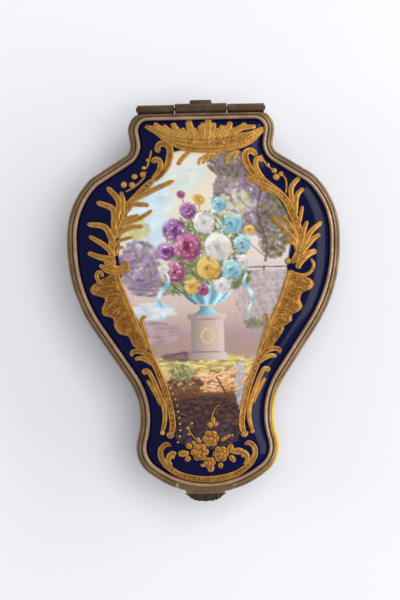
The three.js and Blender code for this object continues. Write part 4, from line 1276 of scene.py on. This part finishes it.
def rose_relief(relief, x, y, radius):
    """A raised rose: rings of petals round a small heart."""
    for ring, reach in enumerate((0.78, 0.48)):
        petals = 6 - ring
        for k in range(petals):
            a = 2 * math.pi * (k + 0.5 * ring) / petals
            points = [(x + radius * reach * math.cos(a + t), y + radius * reach * math.sin(a + t))
                      for t in (-0.55, 0, 0.55)]
            relief.stroke(points, radius * 0.55, 0.5 + 0.3 * ring, (0.5, 0.5), 8)
    relief.disc(x, y, radius * 0.28, 1.0)
    relief.disc(x, y, radius * 0.85, 0.4, tone=0.6)


def flower_spray(relief):
    """The spray of roses, buds and leaves at the foot of the reserve."""
    roses = [(1.2, -62.4, 3.1), (-3, -67.4, 3.3), (4.8, -68.2, 3.0), (0.6, -71.4, 2.2)]
    for x, y, radius in roses:
        rose_relief(relief, x, y, radius)
    leaves = [
        (7.6, -68, 9, -64.6, 1.8), (8.4, -67.4, 13.6, -67.6, 2.1), (8, -69, 10, -71.4, 1.6),
        (-7, -68, -11, -68, 2.0), (-6, -66, -8, -64.6, 1.6), (-6.4, -69.4, -8.4, -70.6, 1.6),
        (-1.6, -72, -2, -73, 1.5), (1, -72, 1, -75, 2.0), (4.4, -71.4, 4.8, -73.6, 1.6),
        (1.8, -58.4, 0, -56.6, 1.4), (2.6, -58, 3.8, -56.4, 1.4), (2, -57, 2.4, -54.4, 1.3),
        (-2.6, -64, -4.4, -62.2, 1.3), (5, -63.4, 6.8, -62.4, 1.2), (6.6, -62.8, 8.6, -61.2, 0.9),
        (-4.6, -64.6, -6, -63.6, 1.2),
    ]
    for x0, y0, x1, y1, width in leaves:
        relief.stroke(bowed(x0, y0, x1, y1, 0.2), 1.4 * width, 0.5, (0.6, 0.6), 12)
    stems = [
        [(1.6, -56.4), (2, -53.6), (3, -51.4), (4, -50.2)],
        [(-4, -63), (-6, -60.6), (-7, -58), (-6, -56.8)],
        [(5.4, -62.6), (7.4, -61.4), (9, -61.2)],
    ]
    for stem in stems:
        relief.stroke(stem, 0.5, 0.3, (0.9, 0.7), 14)
    buds = [
        (-5.8, -56.6, 0.6), (-7.4, -58.4, 0.6), (-6.8, -60.6, 0.6), (4.2, -50.2, 0.4), (9.2, -61.3, 0.5),
        (-3.4, -62.4, 0.7),
    ]
    for x, y, radius in buds:
        relief.disc(x, y, radius, 0.5)


# Beads set along paths on the dome.
BEAD_LIFT = 0.42
SHELL_BEADS_Z = 27.6


def bead_tree():
    """Beads of one radius, set one spacing apart along curves."""
    inputs = {"Geometry": "Geometry", "Spacing": "Float", "Bead Radius": "Float", "Finish": "Material"}
    tree = new_group("BeadRow", "GeometryNodeTree", inputs, {"Geometry": "Geometry"})
    given = tree.nodes.new("NodeGroupInput").outputs
    inputs = {"Curve": given["Geometry"], "Length": given["Spacing"]}
    places = add_node(tree, "GeometryNodeCurveToPoints", inputs, mode="LENGTH").outputs["Points"]
    inputs = {"Subdivisions": 2, "Radius": given["Bead Radius"]}
    bead = add_node(tree, "GeometryNodeMeshIcoSphere", inputs).outputs["Mesh"]
    inputs = {"Points": places, "Instance": bead}
    beads = add_node(tree, "GeometryNodeInstanceOnPoints", inputs).outputs["Instances"]
    for kind in ("GeometryNodeRealizeInstances", "GeometryNodeSetShadeSmooth"):
        beads = add_node(tree, kind, {"Geometry": beads}).outputs["Geometry"]
    finish = add_node(tree, "GeometryNodeSetMaterial", {"Geometry": beads, "Material": given["Finish"]})
    add_node(tree, "NodeGroupOutput", {"Geometry": finish.outputs["Geometry"]})
    return tree


def bead_row(name, tree, paths, spacing, radius, body):
    """One piece of beads along paths of x, y, z in millimetres."""
    curve = bpy.data.curves.new(name + "_paths", "CURVE")
    curve.dimensions = "3D"
    for path in paths:
        spline = curve.splines.new("POLY")
        spline.points.add(len(path) - 1)
        spline.points.foreach_set("co", np.c_[to_frame(path), np.ones(len(path))].ravel())
    carrier = linked(name + "_paths", curve)
    modifier = carrier.modifiers.new("beads", "NODES")
    modifier.node_group = tree
    values = {"Spacing": spacing * MM, "Bead Radius": radius * MM, "Finish": BEAD_GILT}
    for item in tree.interface.items_tree:
        if item.item_type == "SOCKET" and item.in_out == "INPUT" and item.name in values:
            modifier[item.identifier] = values[item.name]
    piece = apply_modifiers(carrier, name)
    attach(piece, body)


def on_dome(points, count, lift, mirror=False):
    """Smooth paths at a height over the dome."""
    paths = []
    for side in sides(mirror):
        path = smooth_path([(side * x, y) for x, y in points], count)
        paths.append(np.c_[path, dome_z(path[:, 0], path[:, 1]) + lift])
    return paths


def make_beads():
    """The beads on the bands, the drops in the reserve, the crest's buttons and the row round the shell."""
    tree = bead_tree()
    band = on_dome([(-18.6, 33.2)] + LEFT_BAND[1:], 60, BEAD_LIFT)
    band += on_dome([(20.4, 35.4)] + RIGHT_BAND[1:7] + [(35.2, 6.5)], 60, BEAD_LIFT)
    lower = [(-19.6, -33.6), (-18.2, -36.6), (-16.8, -40)] + LOWER_BAND[7:11] + [(-13.2, -60)]
    band += on_dome(lower, 50, BEAD_LIFT, mirror=True)
    band += on_dome(whole([(-16.5, -70.8)] + SWAG[5:]), 60, BEAD_LIFT)
    bead_row("band_beads", tree, band, 1.75, 0.27, "lid")
    drops = on_dome([(-13.4, -43.4), (-12.2, -46.4), (-11, -49.4), (-10.6, -52.6), (-10.2, -56),
                     (-10, -58.4), (-10.2, -61.4), (-11, -63.6)], 30, 0.1)
    bead_row("reserve_drops", tree, drops, 2.3, 0.46, "lid")
    buttons = on_dome([(-3, 47.2), (2.6, 47), (8, 46.9), (8.2, 46.9)], 10, 0.75)
    bead_row("crest_beads", tree, buttons, 5.5, 0.62, "lid")
    around = loop_points(PORCELAIN_EDGE - 0.05, 3)
    around = np.vstack([around, around[:1]])
    row = np.c_[around, np.full(len(around), SHELL_BEADS_Z)]
    bead_row("shell_beads", tree, [row], 2.4, 0.42, "base")


def make_gilding():
    """All the raised gilding on the lid, as one piece. The crest is made lighter than the rest."""
    relief = Relief()
    relief.brightening = CREST_BRIGHTENING
    crest(relief)
    relief.brightening = 0.0
    side_scroll(relief)
    side_acanthus(relief)
    lower_scrolls(relief)
    flower_spray(relief)
    relief.make("raised_gilding", GILDING)


# Room. Lamps are given by name, place in metres, width, height, power, and whether the glaze mirrors them.
FLOOR_HALF = 3.0
WORLD_LIGHT = 0.35
WORLD_SEEN = 0.6
LAMPS = [
    ("overhead", (0.26, 0.14, 1.6), 1.0, 1.0, 16.2, False),
    ("right", (0.8, 0.1, 0.5), 1.3, 0.34, 3.6, True),
    ("left", (-0.8, 0.1, 0.5), 0.4, 0.4, 0.8, False),
]
LAMP_AIM = (0, 0, 0.03)

# Camera. The middle of the belly line is seen right of the picture's middle and above it.
CAMERA_HEIGHT = 0.9
LID_HEIGHT = 0.038
SEEN_HEIGHT = 0.2232
SENSOR_HEIGHT = 36.0
ROLL = math.radians(-1.2)
PICTURE_PIXELS = 600
BELLY_PIXELS_RIGHT = 4
BELLY_PIXELS_UP = 30


def make_floor():
    """The pale table that the box stands on."""
    corners = [(x * FLOOR_HALF, y * FLOOR_HALF, 0) for x, y in ((-1, -1), (1, -1), (1, 1), (-1, 1))]
    material, tree, shader = node_material("PaleTable")
    colour = (0.87, 0.875, 0.905, 1)
    set_inputs(tree, shader, {"Base Color": colour, "Roughness": 0.9, "Specular IOR Level": 0.1})
    floor = new_object("floor", corners, [(0, 1, 2, 3)], [material])


def make_lights():
    """A plain world that the camera sees brighter, and three lamps."""
    world = bpy.data.worlds.new("Studio")
    bpy.context.scene.world = world
    world.use_nodes = True
    tree = world.node_tree
    seen = tree.nodes.new("ShaderNodeLightPath").outputs["Is Camera Ray"]
    strength = calculation(tree, "MULTIPLY_ADD", seen, WORLD_SEEN, WORLD_LIGHT)
    set_inputs(tree, tree.nodes["Background"], {"Color": (0.97, 0.98, 1.0, 1), "Strength": strength})
    for name, place, width, height, power, mirrored in LAMPS:
        light = bpy.data.lights.new(name, "AREA")
        light.shape = "RECTANGLE"
        light.size, light.size_y = width, height
        light.energy = power
        lamp = linked(name, light)
        lamp.location = place
        lamp.rotation_euler = (Vector(LAMP_AIM) - Vector(place)).to_track_quat("-Z", "Y").to_euler()
        lamp.visible_glossy = mirrored


def make_camera():
    """Straight above the lid, rolled so that the box stands a little off upright."""
    camera = bpy.data.cameras.new("camera")
    camera.sensor_fit = "VERTICAL"
    camera.sensor_height = SENSOR_HEIGHT
    camera.lens = SENSOR_HEIGHT * (CAMERA_HEIGHT - LID_HEIGHT) / SEEN_HEIGHT
    eye = linked("camera", camera)
    pixel = SEEN_HEIGHT / PICTURE_PIXELS
    right = Vector((math.cos(ROLL), math.sin(ROLL), 0))
    up = Vector((-math.sin(ROLL), math.cos(ROLL), 0))
    aside, above = BELLY_PIXELS_RIGHT * pixel, BELLY_PIXELS_UP * pixel
    centre = Vector((0, SHIFT_Y * MM, 0)) - right * aside - up * above
    eye.location = (centre.x, centre.y, CAMERA_HEIGHT)
    eye.rotation_euler = (0, 0, ROLL)
    bpy.context.scene.camera = eye


def dress_cad_nodes():
    """Materials of the solids that are shown as they are."""
    for node in ("hinge_leaf_left", "hinge_leaf_right", "hinge_leaf_lid", "hinge_pin", "hinge_stop"):
        set_cad_material(node, HINGE_BRASS)
    for node in ("thumbpiece", "thumbpiece_rivet_left", "thumbpiece_rivet_middle"):
        set_cad_material(node, THUMB_BRASS)
    set_cad_material("catch_spring", INNER_BRASS)
    for node in ("lid_bedding", "lower_bedding"):
        set_cad_material(node, PLASTER)


make_camera()
make_lights()
make_floor()
make_plaque()
make_mounts()
make_shell()
make_gilding()
make_beads()
dress_cad_nodes()
bpy.context.scene.view_settings.view_transform = "Standard"
